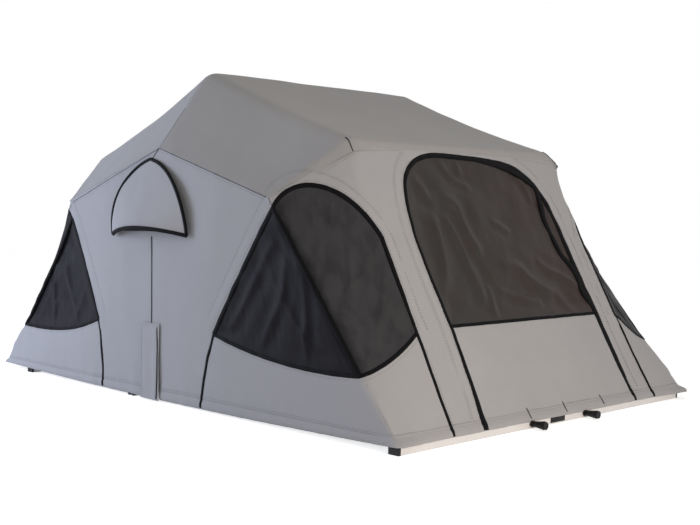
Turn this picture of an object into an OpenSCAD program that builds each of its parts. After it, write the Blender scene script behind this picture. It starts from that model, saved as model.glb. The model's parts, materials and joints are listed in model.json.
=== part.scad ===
// Roof top tent: folding platform on rails, three bent tube bows and a sewn canopy.
// Millimetres. +X leaves the door end, Y runs across, Z is up, the rails stand on Z = 0.

/* [Overall] */
// platform length when open, over the hem
open_len = 2400; // [2300:10:2500]
// canopy width at the hem
tent_w = 1500; // [1400:10:1600]
// ridge height above the rail undersides
ridge_z = 1198; // [1150:2:1260]
// height when folded shut
closed_h = 360; // [354:2:390]

/* [Canopy] */
// half length of the shoulder line
shoulder_x = 620; // [600:5:640]
// shoulder height
shoulder_z = 728; // [700:2:750]
// side wall height under the ridge
gable_z = 913; // [890:2:940]
// half length of the eave line
eave_x = 755; // [740:5:775]
// eave height
eave_z = 923; // [905:2:945]
// distance of the eave and ridge ends in from the hem
eave_in = 220; // [200:5:240]
// distance of the end wall's foot corners in from the hem
foot_in = 205; // [190:5:230]
// modelled thickness of the fabric
fabric_t = 3; // [2:0.5:4]
// hem height
hem_h = 58; // [50:2:66]
// gap left at each seam
seam_gap = 0.4; // [0.3:0.1:0.8]
// roof flange turned down over the end wall
flange_h = 30; // [20:2:34]

/* [Windows and door] */
// half length of the front corner panel's foot along the side
front_foot_x = 262; // [230:2:300]
// half length of the rear corner panel's foot along the side
rear_foot_x = 391; // [360:2:420]
// front window's lower corner along the side
front_sill_x = 348; // [330:2:380]
// rear window's lower corner along the side
rear_sill_x = 420; // [400:2:450]
// height of the window's lower corner on the side
win_side_z = 270; // [250:2:300]
// height of the window's foot on the crease
win_foot_z = 205; // [190:2:230]
// end of the window's arch, down from the eave
win_drop = 320; // [310:2:330]
// pull of the window's lower curve
win_pull = 258; // [240:2:270]
// height of the window's lower corner at the end wall
win_end_z = 318; // [300:2:340]
// door half width at the hem
door_foot = 420; // [400:2:440]
// door half width at the sill
door_half = 384; // [370:2:400]
// door sill height
door_sill_z = 333; // [310:2:360]
// top of the door arch
door_top_z = 880; // [860:2:886]
// radius of the door arch's corners
door_r = 180; // [150:5:220]
// width of the bound edges
bind_w = 16; // [12:1:20]
// how far a bound edge stands proud of the fabric
bind_out = 1.5; // [1:0.5:2.5]

/* [Vent] */
// vent and hinge flap centre along the side
vent_x = -39; // [-60:1:0]
// half width of the vent hood
vent_half = 252; // [220:2:270]
// height of the hood's lower edge
vent_z = 592; // [560:2:610]
// height of the hood
vent_h = 278; // [240:2:280]
// how far the hood's lip stands out
vent_out = 75; // [50:1:90]
// width of the hinge flap
flap_w = 118; // [100:2:130]
// top of the hinge flap
flap_top = 281; // [260:1:300]

/* [Platform] */
// rail height
rail_h = 28; // [24:1:32]
// rail width
rail_w = 40; // [36:1:44]
// rail wall
rail_t = 3; // [2.5:0.5:4]
// slot along the underside of a mount rail
slot_w = 13; // [12:0.5:16]
// outer mount rail's distance in from the hem's end
rail_inset = 200; // [160:5:300]
// inner mount rail's distance from the fold line
rail_near = 190; // [170:5:240]
// rail end cap length
cap_l = 10; // [8:1:14]
// floor panel thickness
panel_t = 22; // [18:1:26]
// edge frame wall
frame_t = 2; // [1.5:0.5:3]
// edge frame flange width
flange_w = 41; // [39:1:46]
// gap between the halves at the fold line
fold_gap = 6; // [4:1:10]
// mattress clearance under the folded bow
mattress_gap = 3.5; // [2:0.5:5]

/* [Bows and hinges] */
// bow tube outside diameter
tube_d = 25; // [22:1:28]
// bow tube wall
tube_t = 2; // [1.5:0.5:3]
// centreline bend radius
bend_r = 70; // [60:5:90]
// side bow lean from upright
bow_tilt = 38; // [37:0.5:39]
// height between the folded bows
bow_step = 70; // [64:1:72]
// leg centreline in from the hem
leg_in = 19; // [18:0.5:22]
// hinge plate thickness
plate_t = 6; // [5:0.5:7]
// pivot pin diameter
pin_d = 10; // [8:0.5:12]
// radial clearance of a pivot
run_gap = 0.06; // [0.02:0.01:0.1]
// bolt diameter
bolt_d = 6; // [5:0.5:6]
// near edge of a hinge plate's foot from the fold line
hinge_foot_x = 18; // [16:1:20]
// length of a hinge plate's foot
hinge_foot_l = 58; // [50:1:60]
// half length of a bow bracket's foot
bracket_half = 36; // [34:1:40]
// bow bracket bolts, each way from the pivot
bracket_bolt = 22; // [20:1:24]

/* [Ladder knobs] */
// distance of each knob from the middle
knob_y = 145; // [120:5:180]
// grip diameter
knob_d = 28; // [26:1:32]
// how far a knob stands out from the rail
knob_out = 58; // [50:1:62]
// stud diameter
stud_d = 8; // [6:1:10]
// height of the knobs' axis
knob_z = 16; // [16:0.5:18]
// room left under a knob's collar for the ladder bracket
bracket_gap = 4; // [3:0.5:6]

/* [Hidden] */
hx = open_len / 2;
hy = tent_w / 2;
hinge_z = closed_h / 2;
rail_far = hx - rail_inset;
hem_z = rail_h + hem_h;
eave_y = hy - eave_in;
foot_y = hy - foot_in;
frame_x = -knob_out / 2;
// platform levels
frame_h = panel_t + 2 * frame_t;
frame_top = rail_h + frame_h;
frame_end = hx - 32;
frame_y = hy - fabric_t;
fit = 0.2;
// bows
leg_y = hy - leg_in;
bow_pz = hinge_z - bow_step;
bar_x = eave_x - 13;
bar_z = eave_z - 14.5;
bar_y = eave_y - 17;
bow_px = bar_x - (bar_z - bow_pz) * tan(bow_tilt);
side_s1 = (shoulder_z - 16 - bow_pz) / cos(bow_tilt);
side_s2 = (bar_z - bow_pz) / cos(bow_tilt);
mid_s1 = gable_z - 14 - hinge_z;
mid_s2 = ridge_z - 19.2 - hinge_z;
leg_tail = 14;
mattress_z = bow_pz - tube_d / 2 - mattress_gap;
mattress_y = frame_y - flange_w - 8;
base_plate_y = leg_y - tube_d / 2 - 12.5;
fold_plate_y = base_plate_y - plate_t - 2;
foot_out = 36;
foot_t = 3;
// canopy levels in the slanted view of a corner, where h = (x - y) / sqrt(2)
r2 = sqrt(2);
h_eave = (eave_x - eave_y) / r2;
h_foot = (hx - foot_y) / r2;
h_crease = (hx - hy) / r2;
h_shoulder = (shoulder_x - hy) / r2;
grid_u = 5;
grid_t = 6;
$fn = 48;

// colours
canvas = [0.60, 0.61, 0.63];
roof_grey = [0.50, 0.50, 0.51];
mesh_dark = [0.20, 0.19, 0.20];
black = [0.06, 0.06, 0.06];
metal = [0.86, 0.83, 0.78];
steel = [0.62, 0.63, 0.65];
board = [0.78, 0.78, 0.76];
foam = [0.45, 0.47, 0.50];

// helpers
function mix(a, b, k) = a + (b - a) * k;
function bez(p, k) = len(p) == 1 ? p[0] : bez([for (i = [0:len(p) - 2]) mix(p[i], p[i + 1], k)], k);
function curve(p, n) = [for (i = [0:n]) bez(p, i / n)];
function unit(v) = v / norm(v);
function side_h(x) = (x - hy) / r2;
function te_h(z) = mix(h_eave, h_foot, (eave_z - z) / (eave_z - rail_h));
function crease_h(z) = mix(h_shoulder, h_crease, (shoulder_z - z) / (shoulder_z - rail_h));

module placed() {
  translate([frame_x, 0, 0]) children();
}

module both_sides() {
  children();
  mirror([0, 1, 0]) children();
}

// end = 1 for the door end, -1 for the rear end
module at_end(end) {
  if (end > 0) children();
  else mirror([1, 0, 0]) children();
}

// canopy solid, drawn in by d on every face and reaching t1 of the way down
function corner_pt(u, k, d) =
  mix(mix([shoulder_x - 0.5 * d, hy - d, shoulder_z - d],
          [hx - 1.12 * d, hy - d, rail_h], k),
      mix([eave_x - 0.75 * d, eave_y - 0.6 * d, eave_z - 0.8 * d],
          [hx - 1.12 * d, foot_y - 0.4 * d, rail_h], k), u);
function ridge_pt(u, d) =
  mix([0, hy - d, gable_z - 1.3 * d], [0, eave_y - 0.6 * d, ridge_z - 1.1 * d], u);
function flip(p, sx, sy) = [p[0] * sx, p[1] * sy, p[2]];
function ring(k, d) = concat(
  [for (i = [0:grid_u]) flip(corner_pt(i / grid_u, k, d), 1, -1)],
  [for (i = [grid_u:-1:0]) flip(corner_pt(i / grid_u, k, d), 1, 1)],
  [for (i = [0:grid_u]) flip(corner_pt(i / grid_u, k, d), -1, 1)],
  [for (i = [grid_u:-1:0]) flip(corner_pt(i / grid_u, k, d), -1, -1)]);

module canopy(d, t1) {
  n = grid_u + 1;
  m = 4 * n;
  top = (grid_t + 1) * m;
  pts = concat(
    [for (j = [0:grid_t]) each ring(t1 * (1 - j / grid_t), d)],
    [for (i = [0:grid_u]) flip(ridge_pt(i / grid_u, d), 1, -1)],
    [for (i = [0:grid_u]) flip(ridge_pt(i / grid_u, d), 1, 1)],
    [[0, 0, mix(shoulder_z, rail_h, t1)]]);
  last = grid_t * m;
  walls = [for (j = [0:grid_t - 1]) for (i = [0:m - 1])
    let (a = j * m + i, b = j * m + (i + 1) % m) each [[a, a + m, b + m], [a, b + m, b]]];
  gables = [[last + m - 1, top, last], [last + 2 * n - 1, top + n, last + 2 * n]];
  slopes = [
    [last + n - 1, top + n - 1, top + 2 * n - 1, last + n],
    [last + 3 * n - 1, top + 2 * n - 1, top + n - 1, last + 3 * n]];
  shoulders = [for (i = [0:grid_u - 1]) each [
    [last + i, top + i, top + i + 1, last + i + 1],
    [last + 2 * n - 2 - i, top + n + i + 1, top + n + i, last + 2 * n - 1 - i],
    [last + 2 * n + i, top + n + i, top + n + i + 1, last + 2 * n + i + 1],
    [last + 4 * n - 2 - i, top + i + 1, top + i, last + 4 * n - 1 - i]]];
  fold = [for (q = shoulders) each [[q[0], q[1], q[2]], [q[0], q[2], q[3]]]];
  mid = top + 2 * n;
  base = [for (i = [0:m - 1]) [i, (i + 1) % m, mid]];
  polyhedron(pts, concat(walls, gables, slopes, fold, base));
}

module shell(out = 0) {
  difference() {
    canopy(-out, 1);
    canopy(fabric_t, 1.03);
  }
}

// part of the canopy above the hem seam
module upper(out = 0) {
  intersection() {
    shell(out);
    translate([-2 * hx, -2 * hy, hem_z + seam_gap / 2]) cube([4 * hx, 4 * hy, 2 * ridge_z]);
  }
}

// prisms that cut the canopy: along a corner's slant, along the side and along the end
module corner_prism() {
  rotate([90, 0, 45]) translate([0, 0, 0.28 * open_len]) linear_extrude(open_len / 2) children();
}

module side_prism(deep = 0) {
  rotate([90, 0, 0]) translate([0, 0, hy - fabric_t - 0.05 - deep]) linear_extrude(40) children();
}

module end_prism() {
  rotate([90, 0, 90]) translate([0, 0, shoulder_x]) linear_extrude(hx) children();
}

// corner window in the slanted view
function win_left(sill_x) = [side_h(sill_x), win_side_z];
function win_top_left() = [side_h(shoulder_x + 22), shoulder_z - 36];
function win_top_right() = [te_h(eave_z - win_drop) - 2, eave_z - win_drop];
function win_right() = [te_h(win_end_z), win_end_z];
function win_foot() = [crease_h(win_foot_z) - 10, win_foot_z];
function window_pts(sill_x) = concat(
  curve([win_top_left(), win_top_left() + [48, 118], win_top_right() + [-125, 206],
    win_top_right()], 14),
  curve([win_right(), win_right() + [-76, -80], win_foot()], 6),
  curve([win_foot(), win_foot() + [-win_pull, -20], win_left(sill_x)], 8));

module window_2d(sill_x, grow) {
  offset(delta = grow) polygon(window_pts(sill_x));
}

module corner_2d(foot_x, sill_x, grow) {
  offset(delta = grow) polygon(concat(
    [[side_h(foot_x), hem_z - 10], win_left(sill_x), win_top_left(),
      [h_shoulder + 4, shoulder_z - 5], [h_eave, eave_z - flange_h]],
    [win_top_right(), win_right(), [te_h(hem_z - 10), hem_z - 10]]));
}

module strip_2d(a, b, w) {
  v = unit([a[1] - b[1], b[0] - a[0]]) * w / 2;
  polygon([a + v, b + v, b - v, a - v]);
}

module corner_binding_2d(foot_x, sill_x, grow) {
  w = bind_w + 2 * grow;
  difference() {
    window_2d(sill_x, bind_w / 2 + grow);
    window_2d(sill_x, -bind_w / 2 - grow);
  }
  strip_2d(win_top_left(), win_foot() + [4, -4], w);
  strip_2d(win_left(sill_x), [side_h(foot_x), hem_z - 10], w * 0.6);
  strip_2d(win_right(), [te_h(hem_z - 10), hem_z - 10], w * 0.6);
}

// front and rear corner zones, and their bound edges, as cutting solids
module corner_zones(grow) {
  both_sides() {
    corner_prism() corner_2d(front_foot_x, front_sill_x, grow);
    mirror([1, 0, 0]) corner_prism() corner_2d(rear_foot_x, rear_sill_x, grow);
  }
}

module corner_bindings(grow) {
  both_sides() {
    corner_prism() corner_binding_2d(front_foot_x, front_sill_x, grow);
    mirror([1, 0, 0]) corner_prism() corner_binding_2d(rear_foot_x, rear_sill_x, grow);
  }
}

// side wall zone
module side_2d(grow) {
  offset(delta = grow) polygon([[-1.1 * hx, hem_z - 10], [1.1 * hx, hem_z - 10],
    [1.1 * hx, shoulder_z - 4], [shoulder_x, shoulder_z - 4], [0, gable_z - 5],
    [-shoulder_x, shoulder_z - 4], [-1.1 * hx, shoulder_z - 4]]);
}

// end wall zone
module end_2d(grow) {
  translate([-eave_y - 30 - grow, hem_z - 10])
    square([2 * (eave_y + 30 + grow), eave_z - flange_h - hem_z + 10 + grow]);
}

// door outline
function door_half_pts() = concat(
  [[door_foot, hem_z - 10], [door_half, door_sill_z], [door_half + 4, door_top_z - door_r]],
  [for (a = [15:15:90]) [door_half + 4 - door_r * (1 - cos(a)), door_top_z - door_r * (1 - sin(a))]]);

module door_2d(grow) {
  p = door_half_pts();
  offset(delta = grow) polygon(concat(p, [for (i = [len(p) - 1:-1:0]) [-p[i][0], p[i][1]]]));
}

module door_binding_2d(grow) {
  difference() {
    door_2d(bind_w / 2 + grow);
    door_2d(-bind_w / 2 - grow);
  }
  translate([-door_half, door_sill_z - bind_w / 2 - grow])
    square([2 * door_half, bind_w + 2 * grow]);
}

// vent outline
function vent_w(v) = vent_half * pow(1 - pow(v, 1.9), 0.75);
module vent_2d(grow) {
  offset(delta = grow) polygon(concat(
    [for (i = [0:10]) [vent_x + vent_w(i / 10), vent_z + vent_h * i / 10]],
    [for (i = [9:-1:0]) [vent_x - vent_w(i / 10), vent_z + vent_h * i / 10]]));
}

// fabric pieces
module end_wall(end) {
  color(canvas) placed() difference() {
    intersection() {
      upper();
      at_end(end) end_prism() end_2d(0);
    }
    corner_zones(seam_gap);
    corner_bindings(seam_gap);
    at_end(end) end_prism() door_2d(bind_w / 2 + seam_gap);
  }
}

module door_mesh(end) {
  color(mesh_dark) placed() intersection() {
    upper();
    at_end(end) end_prism() intersection() {
      door_2d(-bind_w / 2 - seam_gap);
      translate([-hy, door_sill_z + bind_w / 2 + seam_gap]) square([2 * hy, ridge_z]);
    }
  }
}

module door_panel(end) {
  color(canvas) placed() intersection() {
    upper();
    at_end(end) end_prism() intersection() {
      door_2d(-bind_w / 2 - seam_gap);
      translate([-hy, 0]) square([2 * hy, door_sill_z - bind_w / 2 - seam_gap]);
    }
  }
}

module door_binding(end) {
  color(black) placed() intersection() {
    upper(bind_out);
    at_end(end) end_prism() door_binding_2d(0);
  }
}

module corner_panels(end, foot_x, sill_x) {
  color(canvas) placed() both_sides() difference() {
    intersection() {
      upper();
      at_end(end) corner_prism() corner_2d(foot_x, sill_x, 0);
    }
    at_end(end) corner_prism() window_2d(sill_x, bind_w / 2 + seam_gap);
    corner_bindings(seam_gap);
  }
}

module corner_mesh(end, sill_x) {
  color(mesh_dark) placed() both_sides() difference() {
    intersection() {
      upper();
      at_end(end) corner_prism() window_2d(sill_x, -bind_w / 2 - seam_gap);
    }
    corner_bindings(seam_gap);
  }
}

module corner_binding(end, foot_x, sill_x) {
  color(black) placed() both_sides() intersection() {
    upper(bind_out);
    at_end(end) corner_prism() corner_binding_2d(foot_x, sill_x, 0);
  }
}

module side_wall() {
  difference() {
    intersection() {
      upper();
      side_prism() side_2d(0);
    }
    corner_zones(seam_gap);
    corner_bindings(seam_gap);
    side_prism(20) vent_2d(-30);
  }
}

module skirt(half) {
  color(canvas) placed() intersection() {
    shell();
    translate([half > 0 ? fold_gap / 2 : -2 * hx - fold_gap / 2, -2 * hy, 0])
      cube([2 * hx, 4 * hy, hem_z - seam_gap / 2]);
  }
}

// rigid pieces
// bolt positions along X on one side of a half, at the hinge plate and the bow bracket
function bolt_xs() = [hinge_foot_x + 14, hinge_foot_x + hinge_foot_l - 14, bow_px - bracket_bolt,
  bow_px + bracket_bolt];

module bolt_spots(half) {
  for (s = [-1, 1]) {
    for (x = bolt_xs()) {
      translate([half * x, s * (base_plate_y + plate_t + 13), 0]) children();
    }
  }
}

module panel(half) {
  color(board) placed() difference() {
    at_end(half) translate([fold_gap / 2 + frame_t + fit, -frame_y + frame_t + fit, rail_h + frame_t])
      cube([frame_end - fold_gap / 2 - 2 * frame_t - 2 * fit, 2 * (frame_y - frame_t - fit), panel_t]);
    bolt_spots(half) translate([0, 0, frame_top - 14]) cylinder(d = bolt_d + 0.4, h = 20);
  }
}

module edge_frame(half) {
  color(steel) placed() difference() {
    at_end(half) difference() {
      translate([fold_gap / 2, -frame_y, rail_h])
        cube([frame_end - fold_gap / 2, 2 * frame_y, frame_h]);
      translate([fold_gap / 2 + frame_t, -frame_y + frame_t, rail_h + frame_t])
        cube([frame_end - fold_gap / 2 - 2 * frame_t, 2 * (frame_y - frame_t), panel_t]);
      translate([fold_gap / 2 + flange_w, -frame_y + flange_w, rail_h - 5])
        cube([frame_end - fold_gap / 2 - 2 * flange_w, 2 * (frame_y - flange_w), frame_h + 10]);
    }
    bolt_spots(half) translate([0, 0, frame_top - frame_t - 1])
      cylinder(d = bolt_d + 0.4, h = frame_t + 4);
  }
}

module bolts(half) {
  color(steel) placed() bolt_spots(half) {
    translate([0, 0, frame_top - 12]) cylinder(d = bolt_d, h = 12 + foot_t);
    translate([0, 0, frame_top + foot_t]) cylinder(d = 1.7 * bolt_d, h = 4, $fn = 6);
  }
}

// slotted mount rail, open along its underside
module mount_rail(x) {
  w = rail_w / 2;
  color(metal) placed() translate([x, hy - cap_l, 0]) rotate([90, 0, 0])
    linear_extrude(2 * (hy - cap_l)) polygon([[-w, 0], [-slot_w / 2, 0], [-slot_w / 2, rail_t],
      [-w + rail_t, rail_t], [-w + rail_t, rail_h - rail_t], [w - rail_t, rail_h - rail_t],
      [w - rail_t, rail_t], [slot_w / 2, rail_t], [slot_w / 2, 0], [w, 0], [w, rail_h], [-w, rail_h]]);
}

// end cap with a tongue that plugs the rail
module rail_cap(notch) {
  w = rail_w / 2;
  in = rail_t + fit;
  difference() {
    union() {
      translate([-w, hy - cap_l, 0]) cube([rail_w, cap_l, rail_h]);
      translate([-w + in, hy - cap_l - 15, in]) cube([rail_w - 2 * in, 15.5, rail_h - 2 * in]);
    }
    if (notch) {
      translate([-slot_w / 2, hy - cap_l - 20, -1]) cube([slot_w, cap_l + 30, rail_h / 2]);
    }
  }
}

// plate standing on the edge frame with a pivot eye, drawn for the near side of +X
module pivot_plate(px, pz, x0, x1, y0) {
  er = pin_d / 2 + 9;
  difference() {
    union() {
      translate([0, y0 + plate_t, 0]) rotate([90, 0, 0]) linear_extrude(plate_t) union() {
        polygon([[x0, frame_top], [x1, frame_top], [px + er * 0.94, pz + er * 0.34],
          [px - er * 0.94, pz + er * 0.34]]);
        translate([px, pz]) circle(er);
      }
      translate([x0, y0, frame_top]) cube([x1 - x0, base_plate_y + foot_out - y0, foot_t]);
    }
    translate([px, y0 - 5, pz]) rotate([-90, 0, 0])
      cylinder(r = pin_d / 2 + run_gap, h = plate_t + 10);
  }
}

module hinge_plates(half, y0) {
  color(steel) placed() difference() {
    at_end(half) both_sides() pivot_plate(0, hinge_z, hinge_foot_x, hinge_foot_x + hinge_foot_l, y0);
    bolt_spots(half) translate([0, 0, frame_top - 1]) cylinder(d = bolt_d + 0.4, h = foot_t + 2);
  }
}

module bow_brackets(half) {
  color(steel) placed() difference() {
    at_end(half) both_sides() pivot_plate(bow_px, bow_pz, bow_px - bracket_half, bow_px + bracket_half,
      base_plate_y);
    bolt_spots(half) translate([0, 0, frame_top - 1]) cylinder(d = bolt_d + 0.4, h = foot_t + 2);
  }
}

// shouldered pivot pin along Y: head, plates, collar, bow leg
module pivot_pin(x, z, y0) {
  translate([x, 0, z]) rotate([-90, 0, 0]) {
    translate([0, 0, y0 - 4.4]) cylinder(d = pin_d + 8, h = 4);
    translate([0, 0, y0 - 1]) cylinder(d = pin_d, h = leg_y + tube_d / 2 + 0.5 - y0 + 1);
    translate([0, 0, base_plate_y + plate_t + 0.3])
      cylinder(d = pin_d + 6, h = leg_y - tube_d / 2 - 2.3 - base_plate_y - plate_t);
  }
}

// bent tube in the XY plane, all bends to the left: straight runs lap into slightly wider elbows
lap = 6;
module run(a, b, d) {
  translate([a[0], a[1], 0]) rotate([0, 0, atan2(b[1] - a[1], b[0] - a[0])]) rotate([0, 90, 0])
    cylinder(d = d, h = norm(b - a));
}

function turn(p, i) = acos(unit(p[i] - p[i - 1]) * unit(p[i + 1] - p[i]));
function tangent(p, i) = bend_r * tan(turn(p, i) / 2);
function leave(p, i, l) = i == 0 ? p[0] : p[i] + unit(p[i + 1] - p[i]) * (tangent(p, i) - l);
function reach(p, i, l) = i == len(p) - 1 ? p[i] : p[i] + unit(p[i - 1] - p[i]) * (tangent(p, i) - l);

module bent_tube(p, d, elbow_d) {
  for (i = [0:len(p) - 2]) {
    run(leave(p, i, lap), reach(p, i + 1, lap), d);
  }
  for (i = [1:len(p) - 2]) {
    a = reach(p, i, 0);
    t = unit(p[i] - p[i - 1]);
    c = a + [-t[1], t[0]] * bend_r;
    translate([c[0], c[1], 0]) rotate([0, 0, atan2(a[1] - c[1], a[0] - c[0])])
      rotate_extrude(angle = turn(p, i)) translate([bend_r, 0]) circle(d = elbow_d);
  }
}

module bow(s1, s2) {
  p = [[leg_y, -leg_tail], [leg_y, s1], [bar_y, s2], [-bar_y, s2], [-leg_y, s1], [-leg_y, -leg_tail]];
  q = [p[0] - [0, 1], p[1], p[2], p[3], p[4], p[5] - [0, 1]];
  difference() {
    bent_tube(p, tube_d, tube_d + 1.2);
    bent_tube(q, tube_d - 2 * tube_t, tube_d - 2 * tube_t - 1.2);
    translate([-hy, 0, 0]) rotate([0, 90, 0]) cylinder(r = pin_d / 2 + run_gap, h = tent_w);
  }
}

module side_bow(end) {
  color(steel) placed() at_end(end) translate([bow_px, 0, bow_pz]) rotate([0, bow_tilt, 0])
    rotate([90, 0, 90]) bow(side_s1, side_s2);
}

// foam mattress with a crowned top, drawn-in edges and two sewn channels
function pad_edge(k) = 1 - pow(abs(k), 10);
module mattress(half) {
  nx = 14;
  ny = 22;
  lx = frame_end - 14 - fold_gap;
  th = mattress_z - frame_top;
  us = [for (i = [0:nx]) let (k = 2 * i / nx - 1) sign(k) * pow(abs(k), 0.6)];
  vs = [for (j = [0:ny]) let (k = 2 * j / ny - 1) sign(k) * pow(abs(k), 0.6)];
  m = ny + 1;
  top = [for (u = us) for (v = vs)
    let (e = min(pad_edge(u), pad_edge(v)))
    let (dip = 5 * (exp(-pow((abs(u) - 0.36) / 0.09, 2)) + exp(-pow((abs(v) - 0.4) / 0.06, 2))))
    [u * (lx / 2 - 6 * (1 - e)), v * (mattress_y - 6 * (1 - e)), th * (0.62 + 0.38 * e) - dip * e]];
  bottom = [for (u = us) for (v = vs) [u * (lx / 2 - 4), v * (mattress_y - 4), 0]];
  n = len(top);
  grid = [for (i = [0:nx - 1]) for (j = [0:ny - 1])
    [i * m + j, i * m + j + 1, (i + 1) * m + j + 1, (i + 1) * m + j]];
  rim = concat([for (j = [0:ny - 1]) j], [for (i = [0:nx - 1]) i * m + ny],
    [for (j = [ny:-1:1]) nx * m + j], [for (i = [nx:-1:1]) i * m]);
  color(foam) placed() at_end(half) translate([fold_gap / 2 + 6 + lx / 2, 0, frame_top])
    polyhedron(concat(top, bottom), concat(
      [for (q = grid) each [[q[0], q[1], q[2]], [q[0], q[2], q[3]]]],
      [for (q = grid) each [[n + q[0], n + q[2], n + q[1]], [n + q[0], n + q[3], n + q[2]]]],
      [for (i = [0:len(rim) - 1]) let (a = rim[i], b = rim[(i + 1) % len(rim)])
        each [[a, n + a, n + b], [a, n + b, b]]]));
}

// vent hood: pointed arch bulging out to its lower lip
function hood_out(s, v) =
  let (edge = 38 * pow(max(0, 1 - v / 0.4), 1.5))
  edge + (vent_out * pow(1 - v, 1.1) - edge) * (1 - s * s);
function hood_pt(s, v, off) = [vent_x + s * max(vent_w(v), 2),
  -hy - off - hood_out(s, v), vent_z + vent_h * v + 30 * pow(1 - v, 3) * (1 - s * s)];
module hood() {
  nu = 12;
  nv = 8;
  m = nu + 1;
  outer = [for (j = [0:nv]) for (i = [0:nu]) hood_pt(2 * i / nu - 1, j / nv, fabric_t + 0.6)];
  inner = [for (j = [0:nv]) for (i = [0:nu]) hood_pt(2 * i / nu - 1, j / nv, 0.6)];
  n = len(outer);
  grid = [for (j = [0:nv - 1]) for (i = [0:nu - 1])
    [j * m + i, j * m + i + 1, (j + 1) * m + i + 1, (j + 1) * m + i]];
  rim = concat([for (i = [0:nu - 1]) i], [for (j = [0:nv - 1]) j * m + nu],
    [for (i = [nu:-1:1]) nv * m + i], [for (j = [nv:-1:1]) j * m]);
  polyhedron(concat(outer, inner), concat(
    [for (q = grid) each [[q[0], q[2], q[1]], [q[0], q[3], q[2]]]],
    [for (q = grid) each [[n + q[0], n + q[1], n + q[2]], [n + q[0], n + q[2], n + q[3]]]],
    [for (i = [0:len(rim) - 1]) let (a = rim[i], b = rim[(i + 1) % len(rim)])
      each [[a, b, n + b], [a, n + b, n + a]]]));
}

// hand knob on a stud through the ladder rail's outer wall
module knob(y) {
  color(black) placed() translate([hx, y, knob_z]) rotate([0, 90, 0]) difference() {
    union() {
      translate([0, 0, -14]) cylinder(d = stud_d, h = 14 + bracket_gap + 3);
      translate([0, 0, bracket_gap]) cylinder(d = knob_d * 0.74, h = 5);
      translate([0, 0, bracket_gap + 4])
        cylinder(d1 = knob_d * 0.58, d2 = knob_d, h = knob_out * 0.82 - bracket_gap);
      translate([0, 0, knob_out * 0.8]) cylinder(d = knob_d * 0.9, h = knob_out * 0.2);
    }
    for (a = [0:45:315]) {
      rotate([0, 0, a]) translate([knob_d * 0.58, 0, knob_out * 0.46])
        cylinder(d = knob_d * 0.28, h = knob_out, $fn = 24);
    }
  }
}

// sub-parts
module base_panel() panel(-1);
module base_edge_frame() edge_frame(-1);
module outer_mount_rail() mount_rail(-rail_far);
module inner_mount_rail() mount_rail(-rail_near);
module mount_rail_caps() color(black) placed() for (x = [-rail_far, -rail_near]) {
  translate([x, 0, 0]) both_sides() rail_cap(true);
}
module base_hinge_plates() hinge_plates(-1, base_plate_y);
module hinge_pins() color(steel) placed() both_sides() pivot_pin(0, hinge_z, fold_plate_y);
module rear_bow_brackets() bow_brackets(-1);
module rear_bow_pins() color(steel) placed() both_sides() pivot_pin(-bow_px, bow_pz, base_plate_y);
module base_bolts() bolts(-1);
module base_mattress() mattress(-1);
module base_skirt() skirt(-1);
module rear_end_wall() end_wall(-1);
module rear_door_mesh() door_mesh(-1);
module rear_door_panel() door_panel(-1);
module rear_door_binding() door_binding(-1);
module rear_corner_panels() corner_panels(-1, rear_foot_x, rear_sill_x);
module rear_corner_mesh() corner_mesh(-1, rear_sill_x);
module rear_corner_binding() corner_binding(-1, rear_foot_x, rear_sill_x);
module hinge_flaps() color(canvas) placed() both_sides()
  translate([vent_x - 11 - flap_w / 2, -hy - fabric_t - 0.6, 4]) cube([flap_w, fabric_t, flap_top - 4]);
module fold_panel() panel(1);
module fold_edge_frame() edge_frame(1);
module ladder_rail() color(metal) placed() difference() {
  translate([hx - rail_w, -hy + cap_l, 0]) cube([rail_w, 2 * (hy - cap_l), rail_h]);
  translate([hx - rail_w + rail_t, -hy, rail_t]) cube([rail_w - 2 * rail_t, tent_w, rail_h - 2 * rail_t]);
  for (s = [-1, 1]) {
    translate([hx - rail_w / 2, s * knob_y, knob_z]) rotate([0, 90, 0])
      cylinder(r = stud_d / 2 + run_gap, h = rail_w);
  }
}
module ladder_rail_caps() color(black) placed() translate([hx - rail_w / 2, 0, 0])
  both_sides() rail_cap(false);
module fold_hinge_plates() hinge_plates(1, fold_plate_y);
module front_bow_brackets() bow_brackets(1);
module front_bow_pins() color(steel) placed() both_sides() pivot_pin(bow_px, bow_pz, base_plate_y);
module fold_bolts() bolts(1);
module fold_mattress() mattress(1);
module fold_skirt() skirt(1);
module front_end_wall() end_wall(1);
module front_door_mesh() door_mesh(1);
module front_door_panel() door_panel(1);
module front_door_binding() door_binding(1);
module front_corner_panels() corner_panels(1, front_foot_x, front_sill_x);
module front_corner_mesh() corner_mesh(1, front_sill_x);
module front_corner_binding() corner_binding(1, front_foot_x, front_sill_x);
module centre_bow() color(steel) placed() translate([0, 0, hinge_z]) rotate([90, 0, 90])
  bow(mid_s1, mid_s2);
module rear_bow() side_bow(-1);
module front_bow() side_bow(1);
module roof_cover() color(roof_grey) placed() difference() {
  upper();
  both_sides() side_prism() side_2d(seam_gap);
  corner_zones(seam_gap);
  corner_bindings(seam_gap);
  for (end = [-1, 1]) {
    at_end(end) end_prism() end_2d(seam_gap);
  }
}
module near_side_wall() color(canvas) placed() side_wall();
module far_side_wall() color(canvas) placed() mirror([0, 1, 0]) side_wall();
module vent_mesh() color(mesh_dark) placed() both_sides() intersection() {
  upper();
  side_prism() vent_2d(-30 - seam_gap);
}
module vent_hoods() color(canvas) placed() both_sides() hood();
module left_ladder_knob() knob(-knob_y);
module right_ladder_knob() knob(knob_y);

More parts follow.
